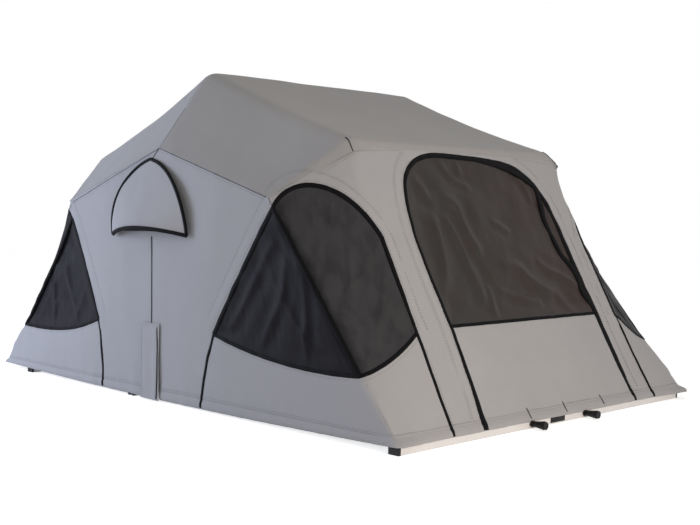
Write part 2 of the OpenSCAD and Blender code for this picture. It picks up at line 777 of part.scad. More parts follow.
base_panel();
base_edge_frame();
outer_mount_rail();
inner_mount_rail();
mount_rail_caps();
base_hinge_plates();
hinge_pins();
rear_bow_brackets();
rear_bow_pins();
base_bolts();
base_mattress();
base_skirt();
rear_end_wall();
rear_door_mesh();
rear_door_panel();
rear_door_binding();
rear_corner_panels();
rear_corner_mesh();
rear_corner_binding();
hinge_flaps();
fold_panel();
fold_edge_frame();
ladder_rail();
ladder_rail_caps();
fold_hinge_plates();
front_bow_brackets();
front_bow_pins();
fold_bolts();
fold_mattress();
fold_skirt();
front_end_wall();
front_door_mesh();
front_door_panel();
front_door_binding();
front_corner_panels();
front_corner_mesh();
front_corner_binding();
centre_bow();
rear_bow();
front_bow();
roof_cover();
near_side_wall();
far_side_wall();
vent_mesh();
vent_hoods();
left_ladder_knob();
right_ladder_knob();
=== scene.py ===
import json
import math

import bpy
import numpy as np
from bpy.props import FloatProperty, FloatVectorProperty, PointerProperty
from mathutils import Matrix, Vector, geometry, noise


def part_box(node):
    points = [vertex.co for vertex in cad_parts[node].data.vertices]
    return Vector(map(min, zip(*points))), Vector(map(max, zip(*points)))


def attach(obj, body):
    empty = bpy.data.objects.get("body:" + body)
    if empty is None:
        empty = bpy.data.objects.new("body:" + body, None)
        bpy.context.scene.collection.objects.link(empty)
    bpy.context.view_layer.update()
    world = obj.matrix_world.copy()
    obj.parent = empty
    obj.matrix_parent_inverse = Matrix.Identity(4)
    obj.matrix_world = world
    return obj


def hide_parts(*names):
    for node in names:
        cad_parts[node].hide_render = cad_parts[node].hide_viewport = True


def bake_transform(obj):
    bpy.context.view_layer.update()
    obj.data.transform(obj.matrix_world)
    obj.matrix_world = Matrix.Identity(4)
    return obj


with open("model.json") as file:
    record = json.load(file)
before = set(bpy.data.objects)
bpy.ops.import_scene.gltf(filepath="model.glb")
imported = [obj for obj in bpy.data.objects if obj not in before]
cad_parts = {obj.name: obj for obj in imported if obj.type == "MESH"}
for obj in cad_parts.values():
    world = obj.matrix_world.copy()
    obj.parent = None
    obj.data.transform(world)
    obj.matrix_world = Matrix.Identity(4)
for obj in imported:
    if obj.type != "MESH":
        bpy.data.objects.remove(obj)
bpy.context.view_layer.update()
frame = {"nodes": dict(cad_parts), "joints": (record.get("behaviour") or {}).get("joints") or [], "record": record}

bl_info = {
    "name": "Roof top tent dressing",
    "version": (1, 0, 0),
    "blender": (4, 5, 0),
    "location": "View3D > Sidebar > Tent",
    "description": "Sewn canopy, bindings, stitching and finishes for a folding roof top tent",
    "category": "Object",
}

FOLD = next(j for j in frame["joints"] if j["name"] == "fold_hinge")["pos_m"]
FOLD_X, FOLD_Z = FOLD[0], FOLD[2]

# Canopy points in metres, x from the fold line. The hem seam and the openings are where the sewn cloth
# has them, a little off the solids.
HALF_L, HALF_W, RAIL_Z, HEM_Z, HEM_LOW = 1.200, 0.750, 0.028, 0.056, 0.021
SHOULDER_X, SHOULDER_Z, GABLE_Z = 0.620, 0.728, 0.913
EAVE_X, EAVE_Y, EAVE_Z, RIDGE_Z = 0.755, 0.530, 0.923, 1.204
FLANGE = 0.030
# Height of the tent's middle, which outer faces look away from.
MID_Z = 0.35
# The end wall's cloth sits a little askew: its seams run out further on the far side than on the near.
FOOT_Y = {-1: 0.518, 1: 0.589}
SWING = 1.8  # how late the edge swings out on its way down
# The far corner under the roof's edge: how far it is drawn out, at what height, over what height, and how
# much it is drawn in elsewhere.
BULGE, BULGE_Z, BULGE_SPAN, BULGE_BASE = 0.041, 0.885, 0.070, 0.011
# The rear corners: how far they are drawn in between their seams, and pushed out at the shoulder.
REAR_HOLLOW, REAR_SHOULDER = 0.020, 0.018
# A loose corner at each end: how far it stands out by the hem, and all the way up.
LOOSE = {1: (0.013, 0.006), -1: (0.007, 0.0)}
# How far the hem band's lower edge stands off its rail at a corner, far and near.
BAND_LIP = {1: (0.027, 0.016), -1: (0.010, 0.008)}
BAND_CUT, BAND_GAP, HEM_DROP = 0.042, 0.0035, 0.016
WIN_TOP = {1: (0.642, 0.692), -1: (0.627, 0.655)}
WIN_SILL_Z, WIN_FOOT_Z, WIN_END_Z, WIN_SHOULDER_Z = 0.270, 0.205, 0.318, 0.603
FOOT_X = {1: 0.257, -1: 0.391}
SILL_X = {1: 0.332, -1: 0.420}
DOOR_SILL = 0.327
DOOR_EDGE = {
    -1: ((0.371, 0.024), (0.366, 0.110), (0.364, 0.210), (0.364, 0.310), (0.373, 0.430),
         (0.380, 0.530), (0.380, 0.630), (0.364, 0.724), (0.332, 0.797), (0.276, 0.846),
         (0.215, 0.871), (0.140, 0.882), (0.0, 0.880)),
    1: ((0.462, 0.024), (0.446, 0.110), (0.436, 0.210), (0.430, 0.310), (0.421, 0.400),
        (0.413, 0.490), (0.407, 0.580), (0.401, 0.660), (0.384, 0.738), (0.350, 0.797),
        (0.300, 0.838), (0.230, 0.863), (0.120, 0.875), (0.0, 0.880))}
DOOR_UPRIGHT = 30  # points of the smoothed edge that run up its side
VENT_X, VENT_HALF, VENT_Z, VENT_H, VENT_OUT = -0.049, 0.242, 0.599, 0.272, 0.066
# Creases of the slack mesh: in the door by distance from its middle and height, the deep ones first, and
# in a window by girth and height.
DEEP_CREASES = 5
DOOR_CREASES = (
    ((-0.229, 0.710), (-0.261, 0.660), (-0.271, 0.594), (-0.280, 0.543), (-0.303, 0.483), (-0.334, 0.444)),
    ((-0.201, 0.670), (-0.183, 0.620), (-0.166, 0.551), (-0.167, 0.496), (-0.156, 0.443), (-0.153, 0.405)),
    ((-0.206, 0.733), (-0.154, 0.728), (-0.124, 0.708), (-0.116, 0.667), (-0.110, 0.613), (-0.095, 0.566)),
    ((0.017, 0.504), (0.084, 0.496), (0.121, 0.457), (0.186, 0.424), (0.240, 0.408), (0.272, 0.376),
     (0.300, 0.337)),
    ((-0.283, 0.792), (-0.266, 0.769), (-0.248, 0.729)),
    ((-0.127, 0.852), (-0.104, 0.818), (-0.068, 0.799), (-0.024, 0.782)),
    ((-0.044, 0.870), (-0.036, 0.828)),
    ((0.215, 0.513), (0.255, 0.485), (0.315, 0.465), (0.378, 0.431)),
    ((-0.110, 0.435), (-0.117, 0.397), (-0.130, 0.340)),
    ((0.284, 0.817), (0.304, 0.773), (0.307, 0.740)),
    ((-0.048, 0.423), (0.029, 0.400), (0.128, 0.379)),
    ((0.047, 0.654), (0.105, 0.630)))
WINDOW_CREASES = (
    ((0.812, 0.589), (0.848, 0.528), (0.869, 0.492)),
    ((0.687, 0.736), (0.730, 0.673), (0.740, 0.642)),
    ((0.692, 0.565), (0.723, 0.490), (0.756, 0.402)),
    ((0.603, 0.551), (0.688, 0.482), (0.726, 0.475)),
    ((0.553, 0.521), (0.591, 0.462), (0.628, 0.403), (0.698, 0.302), (0.740, 0.232)),
    ((0.601, 0.346), (0.642, 0.289)),
    ((0.700, 0.359), (0.759, 0.245)),
    ((0.949, 0.461), (0.963, 0.413), (1.003, 0.322), (1.020, 0.297), (1.047, 0.213)),
    ((1.033, 0.584), (1.114, 0.522), (1.202, 0.447), (1.327, 0.345), (1.407, 0.291)),
    ((0.998, 0.526), (1.035, 0.470), (1.071, 0.416), (1.189, 0.308), (1.244, 0.257)))
# Free edge of the part-opened door mesh.
FREE_EDGE = ((-0.050, 0.874), (0.060, 0.868), (0.150, 0.857), (0.230, 0.840), (0.285, 0.815), (0.318, 0.797),
             (0.350, 0.772), (0.345, 0.720), (0.331, 0.663), (0.338, 0.600), (0.351, 0.536), (0.378, 0.500),
             (0.394, 0.460), (0.389, 0.412), (0.405, 0.370), (0.424, 0.336))
# Height, and how far the hem band stands out, from its seam down to the edge turned under.
HEM = ((HEM_Z, 0.0), (0.0520, 0.0010), (0.0480, 0.0006), (0.0455, -0.0002), (0.0425, 0.0012),
       (0.0385, 0.0028), (0.0340, 0.0036), (0.0295, 0.0034), (0.0255, 0.0022), (0.0225, 0.0004),
       (HEM_LOW, -0.0028))
FLAP_X, FLAP_W, FLAP_LOW, FLAP_TOP = -0.050, 0.118, 0.004, 0.281
MESH_THICK = 0.0008
THREAD_LIFT, STITCH_LONG, STITCH_THICK = 0.0004, 0.0058, 0.0011
LINE_STEP = 0.010  # spacing of a line's points on the cloth
THREAD_SHADE = 20  # degrees: facets that meet more sharply than this show their edge
PLATE_SIZE, PLATE_Y, PLATE_Z = (0.0012, 0.078, 0.021), -0.004, 0.0145
FLOOR_GLOW, SKY_LIGHT = 0.64, 0.42
R2 = math.sqrt(2)
TINY = 1e-12
END_NAME = {1: "front", -1: "rear"}
SIDE_NAME = {-1: "near", 1: "far"}
# Material slot that each cloth's finish belongs to.
SLOT_OF = {"woven_wall_canvas": "wall_canvas", "woven_roof_canvas": "roof_canvas",
           "knitted_insect_mesh": "insect_mesh", "knitted_door_mesh": "insect_mesh"}
# Camera: bearing, height angle and roll in radians, place in metres, focal length in picture widths.
VIEW_TURN, VIEW_PLACE, VIEW_FOCAL = (0.815252, 0.0380818, 0.0061774), (3.211, -2.861, 0.651), 1061.9 / 700
SENSOR = 36.0
# Lights: name, place, aim, size in metres, power in watts, colour.
LIGHTS = (("cool_side_light", (-2.6, -2.7, 1.0), (-1.0, -0.75, 0.45), 1.9, 88, "D8E3FF"),
          ("warm_end_light", (4.3, -1.1, 0.42), (0.9, -0.1, 0.28), 2.1, 126, "FFF1E4"))


def linear(code):
    """sRGB hex to linear RGBA."""
    rgb = [int(code[i:i + 2], 16) / 255 for i in (0, 2, 4)]
    return [c / 12.92 if c <= 0.04045 else ((c + 0.055) / 1.055) ** 2.4 for c in rgb] + [1.0]


def metres(label, words, default, low, high):
    return FloatProperty(name=label, description=words, default=default, min=low, max=high, unit="LENGTH")


class TentCanopySizes(bpy.types.PropertyGroup):
    cell: metres("Cloth cell", "Spacing of the cloth's points", 0.014, 0.006, 0.05)
    cloth: metres("Cloth thickness", "Thickness of the canvas", 0.0014, 0.0005, 0.003)
    sag: metres("Roof sag", "How far the roof cloth hangs between its bows", 0.011, 0.0, 0.03)
    slack: metres("Slack", "Height of the broad waves in the canvas", 0.0042, 0.0, 0.01)
    pucker: metres("Seam pucker", "Height of the gathers beside a seam", 0.0026, 0.0, 0.004)
    mesh_fold: metres("Mesh folds", "Height of the folds in the insect mesh", 0.0060, 0.0, 0.02)
    binding: metres("Binding width", "Width of the black bound edges", 0.015, 0.008, 0.03)
    stitch: metres("Stitch pitch", "Distance from one stitch to the next", 0.009, 0.004, 0.03)


def colour(label, code, words):
    return FloatVectorProperty(name=label, description=words, subtype="COLOR", size=4,
                               min=0.0, max=1.0, default=linear(code))


class TentColours(bpy.types.PropertyGroup):
    wall: colour("Wall canvas", "9A9A9C", "Light grey canvas of the walls")
    roof: colour("Roof canvas", "959494", "Darker grey canvas of the roof")
    mesh: colour("Insect mesh", "1B1A1D", "Dark window mesh")
    # painted light: the lighter tone of the window mesh where it faces the door end
    lit_mesh: colour("Lit mesh", "3B3B3D", "Window mesh where it faces the door end")
    door: colour("Door mesh", "352B29", "Browner mesh of the doors")
    # painted sheen: the greyer tone laid on the door mesh towards its near side
    sheened_door: colour("Sheened door mesh", "312F2E", "Door mesh where dust has greyed it")
    tape: colour("Binding", "08080A", "Black binding tape and zips")
    thread: colour("Thread", "38383C", "Sewing thread")
    rail: colour("Rail", "D2D1D1", "Pale rail coating")
    plastic: colour("Plastic", "0C0C0D", "Black caps and knobs")


# ---------------------------------------------------------------- lines
def bell(value, width):
    """1 at zero, falling away smoothly to either side."""
    return np.exp(-(value / width) ** 2)


def unit(vectors):
    """Rows of vectors, each brought to length 1."""
    return vectors / np.maximum(np.linalg.norm(vectors, axis=1), TINY)[:, None]


def run_length(points):
    """Distance along a line at each of its points."""
    return np.concatenate([[0], np.cumsum(np.linalg.norm(np.diff(points, axis=0), axis=1))])


def at_run(points, run, at):
    """Points or normals of a line at given distances along it."""
    return np.stack([np.interp(at, run, points[:, i]) for i in range(3)], -1)


# ---------------------------------------------------------------- canopy shape
def end_x(z):
    """Distance of the end wall from the fold line."""
    return EAVE_X + (HALF_L - EAVE_X) * (EAVE_Z - z) / (EAVE_Z - RAIL_Z)


def eave_bulge(z, side):
    """The far corner of the end wall is drawn out a little under the roof's edge."""
    out = BULGE * bell(np.asarray(z) - BULGE_Z, BULGE_SPAN) - BULGE_BASE
    return np.where(np.asarray(side) < 0, 0.0, out)


def end_edge(z, side):
    """Distance of the end wall's edge from the middle; the far one swings out towards its foot."""
    foot = np.where(np.asarray(side) < 0, FOOT_Y[-1], FOOT_Y[1])
    low = np.maximum(EAVE_Z - z, 0) / (EAVE_Z - RAIL_Z)
    return EAVE_Y + (foot - EAVE_Y) * low ** SWING + eave_bulge(z, side)


def edge_line(side, top, low, count):
    """The end wall's edge between two heights, in girth and height."""
    return np.array([[float(end_edge(z, side)), z] for z in np.linspace(top, low, count)])


def crease_x(z):
    """Distance of the side wall's corner crease from the fold line."""
    return SHOULDER_X + (HALF_L - SHOULDER_X) * (SHOULDER_Z - z) / (SHOULDER_Z - RAIL_Z)


def side_g(x, z):
    """Place of a side wall point on the girth, which runs round a corner from the end's middle."""
    return end_x(z) + HALF_W - x


def slant_g(h, z):
    """Place on the girth of a point on the slanted corner, h along its level lines."""
    return end_x(z) - R2 * h


def folded(girth, z, end):
    """Girth and height to points on flat walls with sharp folds."""
    g, z = np.broadcast_arrays(np.asarray(girth, float), np.asarray(z, float))
    side = np.where(g < 0, -1.0, 1.0)
    g = np.abs(g)
    foot = np.where(side < 0, FOOT_Y[-1], FOOT_Y[1])
    lo, hi = np.zeros_like(g), np.ones_like(g)

    def corner(u):
        k = 1 - (z - RAIL_Z) / (SHOULDER_Z - RAIL_Z + (EAVE_Z - SHOULDER_Z) * u)
        x = SHOULDER_X + (EAVE_X - SHOULDER_X) * u
        x = x + (HALF_L - x) * k
        swing = (foot - EAVE_Y) * np.clip(k, 0, 1) ** SWING
        return x, HALF_W - u * (HALF_W - EAVE_Y - swing - eave_bulge(z, side))

    # halving finds which of the corner's lines a girth falls on
    for _ in range(28):
        u = (lo + hi) / 2
        x, y = corner(u)
        far = end_x(z) - x + y > g
        lo, hi = np.where(far, u, lo), np.where(far, hi, u)
    x, y = corner((lo + hi) / 2)
    flat = g <= end_edge(z, side)
    x, y = np.where(flat, end_x(z), x), np.where(flat, g, y)
    long = (g >= side_g(crease_x(z), z)) & (z <= SHOULDER_Z)
    x, y = np.where(long, end_x(z) + HALF_W - g, x), np.where(long, HALF_W, y)
    if end < 0:
        near = np.clip((x - 0.48) / 0.20, 0, 1)
        x = x - REAR_HOLLOW * np.clip((z - 0.16) / 0.08, 0, 1) * np.clip((0.70 - z) / 0.20, 0, 1) * near
        x = x + REAR_SHOULDER * bell(z - SHOULDER_Z, 0.05) * near
    return np.stack([x * end, y * side, z + 0 * x], -1)


def wrap(girth, z, end):
    """Girth and height to points on the walls: end wall, slanted corner and side wall in one run, with the
    folds between them eased over the width that canvas bends in."""
    girth, z = np.broadcast_arrays(np.asarray(girth, float), np.asarray(z, float))
    side, g = np.where(girth < 0, -1.0, 1.0), np.abs(girth)
    p = folded(girth, z, end)
    for fold, ease, top in ((end_edge(z, side), 0.040, EAVE_Z),
                            (side_g(crease_x(z), z), 0.050, SHOULDER_Z - 0.03)):
        if top < EAVE_Z:
            tight = np.where(side * end > 0, 0.5, 1.0) * np.clip((z - 0.10) / 0.12, 0.2, 1)
            ease = ease * np.clip((top - z) / 0.08, 0.02, 1) * tight
        else:
            ease = ease + 0 * z
        t = ((g - fold + ease) / (2 * ease))[..., None]
        a, b, c = (folded(side * (fold + d), z, end) for d in (-ease, 0, ease))
        near = ((t > 0) & (t < 1)) & (z < top)[..., None]
        p = np.where(near, (1 - t) ** 2 * a + 2 * t * (1 - t) * b + t ** 2 * c, p)
    # two loose corners stand out above the hem: the far door corner and the near one at the rear
    by_hem, all_up = LOOSE[end]
    out = by_hem * bell(z - 0.09, 0.09) + all_up
    out = out * (side * end > 0) * np.clip((0.70 - z) / 0.15, 0, 1)
    out = out * bell(g - side_g(crease_x(z), z), 0.14) / R2
    return p + np.stack([out * end, out * side, 0 * out], -1)


def hem_drop(x, z):
    """The hem band hangs lower towards the middle of each side."""
    low = np.clip((HEM_Z - z) / (HEM_Z - HEM_LOW), 0, 1)
    return HEM_DROP * (1 - np.clip(np.abs(x) / HALF_L, 0, 1) ** 2) * low


def side_plane(x, z, side):
    """Length and height to points on a side wall."""
    x, z = np.broadcast_arrays(np.asarray(x, float), np.asarray(z, float))
    return np.stack([x, np.full(x.shape, HALF_W * side), z], -1)


def curve(points, count):
    """Bezier curve as a list of points."""
    t = np.linspace(0, 1, count)[:, None]
    p = [np.repeat(np.asarray(q, float)[None], count, 0) for q in points]
    while len(p) > 1:
        p = [a + (b - a) * t for a, b in zip(p, p[1:])]
    return p[0]


def line(a, b, count):
    return curve([a, b], count)


def to_girth(points):
    """A line on the slanted corner, as girth and height."""
    return np.array([[slant_g(h, z), z] for h, z in points])


def to_side(points, end):
    """A line in girth and height, as length and height on a side wall."""
    return np.array([[end * (end_x(z) + HALF_W - g), z] for g, z in points])


def slant_edge(z, side):
    """Place of the end wall's edge along a level line of the slanted corner."""
    return (end_x(z) - float(end_edge(z, side))) / R2


def through(points):
    """A smooth line through its points, with six steps from each to the next."""
    p = np.asarray(points, float)
    p = np.vstack([2 * p[0] - p[1], p, 2 * p[-1] - p[-2]])
    t = np.linspace(0, 1, 6, endpoint=False)[:, None]
    out = [0.5 * (2 * b + (c - a) * t + (2 * a - 5 * b + 4 * c - d) * t ** 2
                  + (3 * b - a - 3 * c + d) * t ** 3)
           for a, b, c, d in zip(p, p[1:], p[2:], p[3:])]
    return np.vstack([*out, p[-2:-1]])


def window_arch(end, side):
    """Upper edge of a corner window."""
    top = np.array([(WIN_TOP[end][0] - HALF_W) / R2, WIN_TOP[end][1]])
    right = np.array([slant_edge(WIN_SHOULDER_Z, side) - 0.005, WIN_SHOULDER_Z])
    return to_girth(curve([top, top + [0.046, 0.114], right + [-0.122, 0.196], right], 44))


def window_right(side):
    """Edge of a corner window beside the end wall."""
    edge = edge_line(side, WIN_SHOULDER_Z, WIN_END_Z, 12)
    return edge + np.stack([np.linspace(0.007, 0.0, 12), np.zeros(12)], -1)


def window_foot():
    """Lowest point of a corner window, at the side wall's crease."""
    h = (crease_x(WIN_FOOT_Z) - HALF_W) / R2 - 0.010
    return np.array([h, WIN_FOOT_Z])


def window_bottom(end, side):
    """Lower edge of a corner window, through its foot."""
    right = np.array([slant_edge(WIN_END_Z, side), WIN_END_Z])
    foot = window_foot()
    left = np.array([(SILL_X[end] - HALF_W) / R2, WIN_SILL_Z])
    return to_girth(np.vstack([curve([right, right + [-0.072, -0.088], foot], 16),
                               curve([foot, foot + [-0.258, -0.020], left], 26)[1:]]))


def window_left(end):
    """Side edge of a window, from its sill up to the arch, bowed a little towards the window."""
    a, b = np.array([SILL_X[end], WIN_SILL_Z]), np.array(WIN_TOP[end])
    mid = (a + b) / 2 + np.array([-0.010, 0.006]) * (1 if end > 0 else 0.5)
    return np.array([[side_g(x, z), z] for x, z in curve([a, mid, b], 18)])


def foot_piping(end):
    """Piping from the window's sill corner down to the hem."""
    a, b = np.array([SILL_X[end], WIN_SILL_Z]), np.array([FOOT_X[end], 0.026])
    mid = (a + b) / 2 + np.array([-0.014, 0.010])
    return np.array([[side_g(x, z), z] for x, z in curve([a, mid, b], 16)])


def fold_line(end):
    """The piped fold of a corner window, from its peak to its foot."""
    foot = window_foot() + [0.004, -0.002]
    peak = np.array([(WIN_TOP[end][0] - HALF_W) / R2 + 0.003, WIN_TOP[end][1] - 0.004])
    return to_girth(line(peak, foot, 30))


def window_outline(end, side):
    return np.vstack([window_arch(end, side), window_right(side)[1:], window_bottom(end, side)[1:],
                      window_left(end)[1:-1]])


def hem_cut(points):
    """The part of a line above the hem seam, ending on it."""
    out = [p for p in points if p[1] > HEM_Z]
    i = len(out)
    if i < len(points):
        a, b = points[i - 1], points[i]
        out.append(a + (b - a) * (HEM_Z - a[1]) / (b[1] - a[1]))
    return np.array(out)


def corner_outline(end, side):
    """Cloth below a corner window."""
    left = hem_cut(foot_piping(end))
    right = edge_line(side, WIN_END_Z, HEM_Z, 18)
    return np.vstack([window_bottom(end, side), left[1:], right[::-1][:-1]])


def door_at(side, z):
    """Distance of the door's side edge from the middle, at a height."""
    edge = through(DOOR_EDGE[side])[:DOOR_UPRIGHT]
    return np.interp(z, edge[:, 1], edge[:, 0])


def door_half(side, low=None, high=math.inf):
    """Edge of the door from its foot to the middle of its top, or the part between two heights."""
    edge = through(DOOR_EDGE[side])
    if low is not None:
        edge = np.vstack([[[door_at(side, low), low]], edge[edge[:, 1] > low + 0.002]])
    return edge[edge[:, 1] < high]


def mirrored(points):
    """A line on the other side of the middle, run the other way."""
    return np.array([[-a, b] for a, b in points[::-1]])


def end_outline():
    """Cloth of an end wall round its door."""
    top = EAVE_Z - FLANGE
    far = np.vstack([[[0.0, top]], edge_line(1, top, HEM_Z, 60), door_half(1, HEM_Z)])
    near = np.vstack([edge_line(-1, top, HEM_Z, 60), door_half(-1, HEM_Z)[:-1]])
    return np.vstack([far, mirrored(near)])


def strip_outline(end, side):
    """Cloth between a window's arch and the roof."""
    shoulder = [side_g(SHOULDER_X, SHOULDER_Z) - 0.004, SHOULDER_Z - 0.006]
    return np.vstack([[shoulder], window_arch(end, side),
                      edge_line(side, WIN_SHOULDER_Z, EAVE_Z - FLANGE, 24)])


def side_outline():
    """Cloth of a side wall, from window to window."""
    def edge(end):
        foot = to_side(hem_cut(foot_piping(end)), end)
        return np.vstack([foot[::-1], to_side(window_left(end), end)[1:]])
    right, left = edge(1), edge(-1)
    return np.vstack([right, [[SHOULDER_X, SHOULDER_Z - 0.001]], [[0.0, GABLE_Z - 0.001]],
                      [[-SHOULDER_X - 0.024, SHOULDER_Z + 0.003]], left[::-1]])


def vent_half(v):
    """Half width of a vent, from its foot at 0 to its top at 1."""
    return VENT_HALF * np.maximum(1 - np.asarray(v, float) ** 2.1, 0) ** 0.66


def vent_outline(inset):
    """Outline of a vent, drawn in by an inset."""
    v = np.linspace(0, 1, 24)
    w = vent_half(v)
    pts = np.vstack([np.stack([VENT_X + w, VENT_Z + VENT_H * v], -1),
                     np.stack([VENT_X - w, VENT_Z + VENT_H * v], -1)[::-1][1:]])
    mid = np.array([VENT_X, VENT_Z + 0.4 * VENT_H])
    return mid + (pts - mid) * (1 - inset / VENT_HALF)


# ---------------------------------------------------------------- drape
def waves(points, scale, seed):
    """Soft noise at the cloth's points, about -1 to 1."""
    return np.array([noise.noise(Vector(p) * scale + Vector((seed, 3.1 * seed, 7.7))) for p in points])


def drape(points, seam, sizes):
    """Small rise and fall of canvas along its normal. Neighbours share it, so seams stay closed."""
    near = np.exp(-np.asarray(seam) / 0.045)
    broad = sizes.slack * waves(points, 3.1, 1.3) + 0.35 * sizes.slack * waves(points, 9.0, 4.2)
    gather = sizes.pucker * near * waves(points * [1, 1, 0.45], 31.0, 8.8)
    return broad * (1 - 0.55 * near) + gather


def folds(a, b, turn, across, along, seed):
    """Long soft folds lying at an angle, from stretched noise in a panel's own plane."""
    c, s = math.cos(turn), math.sin(turn)
    p, q = a * c + b * s, -a * s + b * c
    bend = 0.03 * np.array([noise.noise(Vector((i * 4, j * 4, seed))) for i, j in zip(a, b)])
    n = np.array([noise.noise(Vector(((i + w) / across, j / along, seed))) for i, j, w in zip(p, q, bend)])
    return 1 - 2.4 * np.abs(n)


def creased(flat, lines, width):
    """Sharp-backed creases along given lines: a ridge and the hollow beside it, 1 at the ridge's top."""
    out = np.zeros(len(flat))
    for path in lines:
        path = through(path)
        gap = beside_lines(flat, [path])
        run = np.clip(((flat - path[0]) @ (path[-1] - path[0])) / ((path[-1] - path[0]) ** 2).sum(), 0, 1)
        fade = 0.35 + 0.65 * np.sin(math.pi * (0.1 + 0.8 * run))
        out += fade * (bell(gap, width) - 0.45 * bell(gap - 2.3 * width, 1.4 * width))
    return out


def rim(gap):
    """Height of the doubled, rolled cloth that runs beside a bound edge, 10 to 49 mm from it."""
    return 0.0019 * np.clip((gap - 0.010) / 0.006, 0, 1) * np.clip((0.049 - gap) / 0.008, 0, 1)


def beside_lines(flat, lines):
    """Distance of each point to the nearest of some open lines."""
    return away(flat, [np.vstack([l, l[::-1]]) for l in lines])


# ---------------------------------------------------------------- mesh making
def inside(points, loop):
    """Which points lie within an outline."""
    x, y = points[:, 0], points[:, 1]
    hit = np.zeros(len(points), bool)
    for (x0, y0), (x1, y1) in zip(loop, np.roll(loop, -1, 0)):
        span = (y0 > y) != (y1 > y)
        if span.any():
            cross = x0 + (y - y0) * (x1 - x0) / ((y1 - y0) or TINY)
            hit ^= span & (x < cross)
    return hit


def away(points, loops):
    """Distance of each point to the nearest outline."""
    best = np.full(len(points), np.inf)
    for loop in loops:
        for a, b in zip(loop, np.roll(loop, -1, 0)):
            d = b - a
            t = np.clip(((points - a) @ d) / max(d @ d, TINY), 0, 1)
            best = np.minimum(best, np.linalg.norm(points - a - t[:, None] * d, axis=1))
    return best


def spaced(loop, step, closed=True):
    """Outline with its corners kept and its long runs divided."""
    out = []
    nxt = np.roll(loop, -1, 0) if closed else loop[1:]
    for a, b in zip(loop, nxt):
        n = max(1, round(float(np.linalg.norm(b - a)) / step))
        out += [a + (b - a) * i / n for i in range(n)]
    if not closed:
        out.append(loop[-1])
    return np.array(out)


def thinned(points, step):
    """Drops points that lie closer than step to the one before."""
    out = [points[0]]
    for p in points[1:]:
        if np.linalg.norm(p - out[-1]) > step:
            out.append(p)
    return np.array(out)


def cut_panel(outline, cell, holes=()):
    """A flat panel as points, triangles and each point's distance to its edge."""
    loops = [spaced(thinned(np.asarray(o, float), 0.002), cell) for o in (outline, *holes)]

    def on_cloth(points):
        keep = inside(points, loops[0])
        for hole in loops[1:]:
            keep &= ~inside(points, hole)
        return keep

    low, high = loops[0].min(0), loops[0].max(0)
    rows = np.arange(low[1], high[1], cell * 0.866)
    grid = np.array([[x + (cell / 2 if j % 2 else 0), z] for j, z in enumerate(rows)
                     for x in np.arange(low[0], high[0], cell)])
    grid = grid[on_cloth(grid)]
    grid = grid[away(grid, loops) > 0.45 * cell]
    pts, edges = [], []
    for loop in loops:
        n = len(pts)
        pts += list(loop)
        edges += [(n + i, n + (i + 1) % len(loop)) for i in range(len(loop))]
    made = geometry.delaunay_2d_cdt([Vector(p) for p in (*pts, *grid)], edges, [], 0, 1e-7)
    flat = np.array([v[:] for v in made[0]])
    tris = np.array([f[:] for f in made[2]])
    return flat, tris[on_cloth(flat[tris].mean(1))], away(flat, loops)


def laid(outline, cell, end):
    """A panel of an end and its corners, with its points' places on the walls."""
    flat, tris, seam = cut_panel(outline, cell)
    return flat, tris, seam, wrap(*flat.T, end)


def grid_quads(rows, cols):
    """Four-sided faces of a grid of points, row by row."""
    return np.array([[j * cols + i, j * cols + i + 1, (j + 1) * cols + i + 1, (j + 1) * cols + i]
                     for j in range(rows - 1) for i in range(cols - 1)])


def point_normals(points, faces):
    """Normals of a mesh's points, weighted by the faces' areas."""
    n = np.zeros_like(points)
    for f in (faces[:, :3], faces[:, [0, 2, 3]]) if faces.shape[1] == 4 else (faces,):
        a, b, c = (points[f[:, i]] for i in range(3))
        cross = np.cross(b - a, c - a)
        for i in range(3):
            np.add.at(n, f[:, i], cross)
    return unit(n)


def facing_out(points, faces):
    """Faces turned to look away from the tent's middle."""
    a, b, c = (points[faces[:, i]] for i in range(3))
    mid = points[faces].mean(1) - np.array([0.0, 0.0, MID_Z])
    return faces if (np.cross(b - a, c - a) * mid).sum() > 0 else faces[:, ::-1]


def sheet_area(points, faces):
    """Area of a mesh of triangles or of four-sided faces."""
    f = faces if faces.shape[1] == 3 else np.vstack([faces[:, :3], faces[:, [0, 2, 3]]])
    a, b, c = (points[f[:, i]] for i in range(3))
    return float(np.linalg.norm(np.cross(b - a, c - a), axis=1).sum() / 2)


def make_object(name, points, faces, flat, finish):
    """Mesh object in the row frame, with the flat cut kept as its UV map, in metres."""
    mesh = bpy.data.meshes.new(name)
    place = np.asarray(points, float) + np.array([FOLD_X, 0.0, 0.0])
    mesh.from_pydata(place.tolist(), [], [list(map(int, f)) for f in faces])
    uv = mesh.uv_layers.new(name="cut")
    index = np.zeros(len(mesh.loops), np.int32)
    mesh.loops.foreach_get("vertex_index", index)
    uv.data.foreach_set("uv", np.asarray(flat, np.float32)[index].ravel())
    mesh.materials.append(bpy.data.materials[finish])
    obj = bpy.data.objects.new(name, mesh)
    bpy.context.scene.collection.objects.link(obj)
    return obj


def only(obj):
    """Makes one object the selected and active one."""
    bpy.ops.object.select_all(action="DESELECT")
    obj.select_set(True)
    bpy.context.view_layer.objects.active = obj


def thicken(obj, thickness):
    only(obj)
    mod = obj.modifiers.new("cloth", "SOLIDIFY")
    mod.thickness, mod.offset, mod.use_even_offset = thickness, -1.0, False
    bpy.ops.object.modifier_apply(modifier=mod.name)


def smooth(obj, degrees=50):
    only(obj)
    bpy.ops.object.shade_smooth_by_angle(angle=math.radians(degrees))


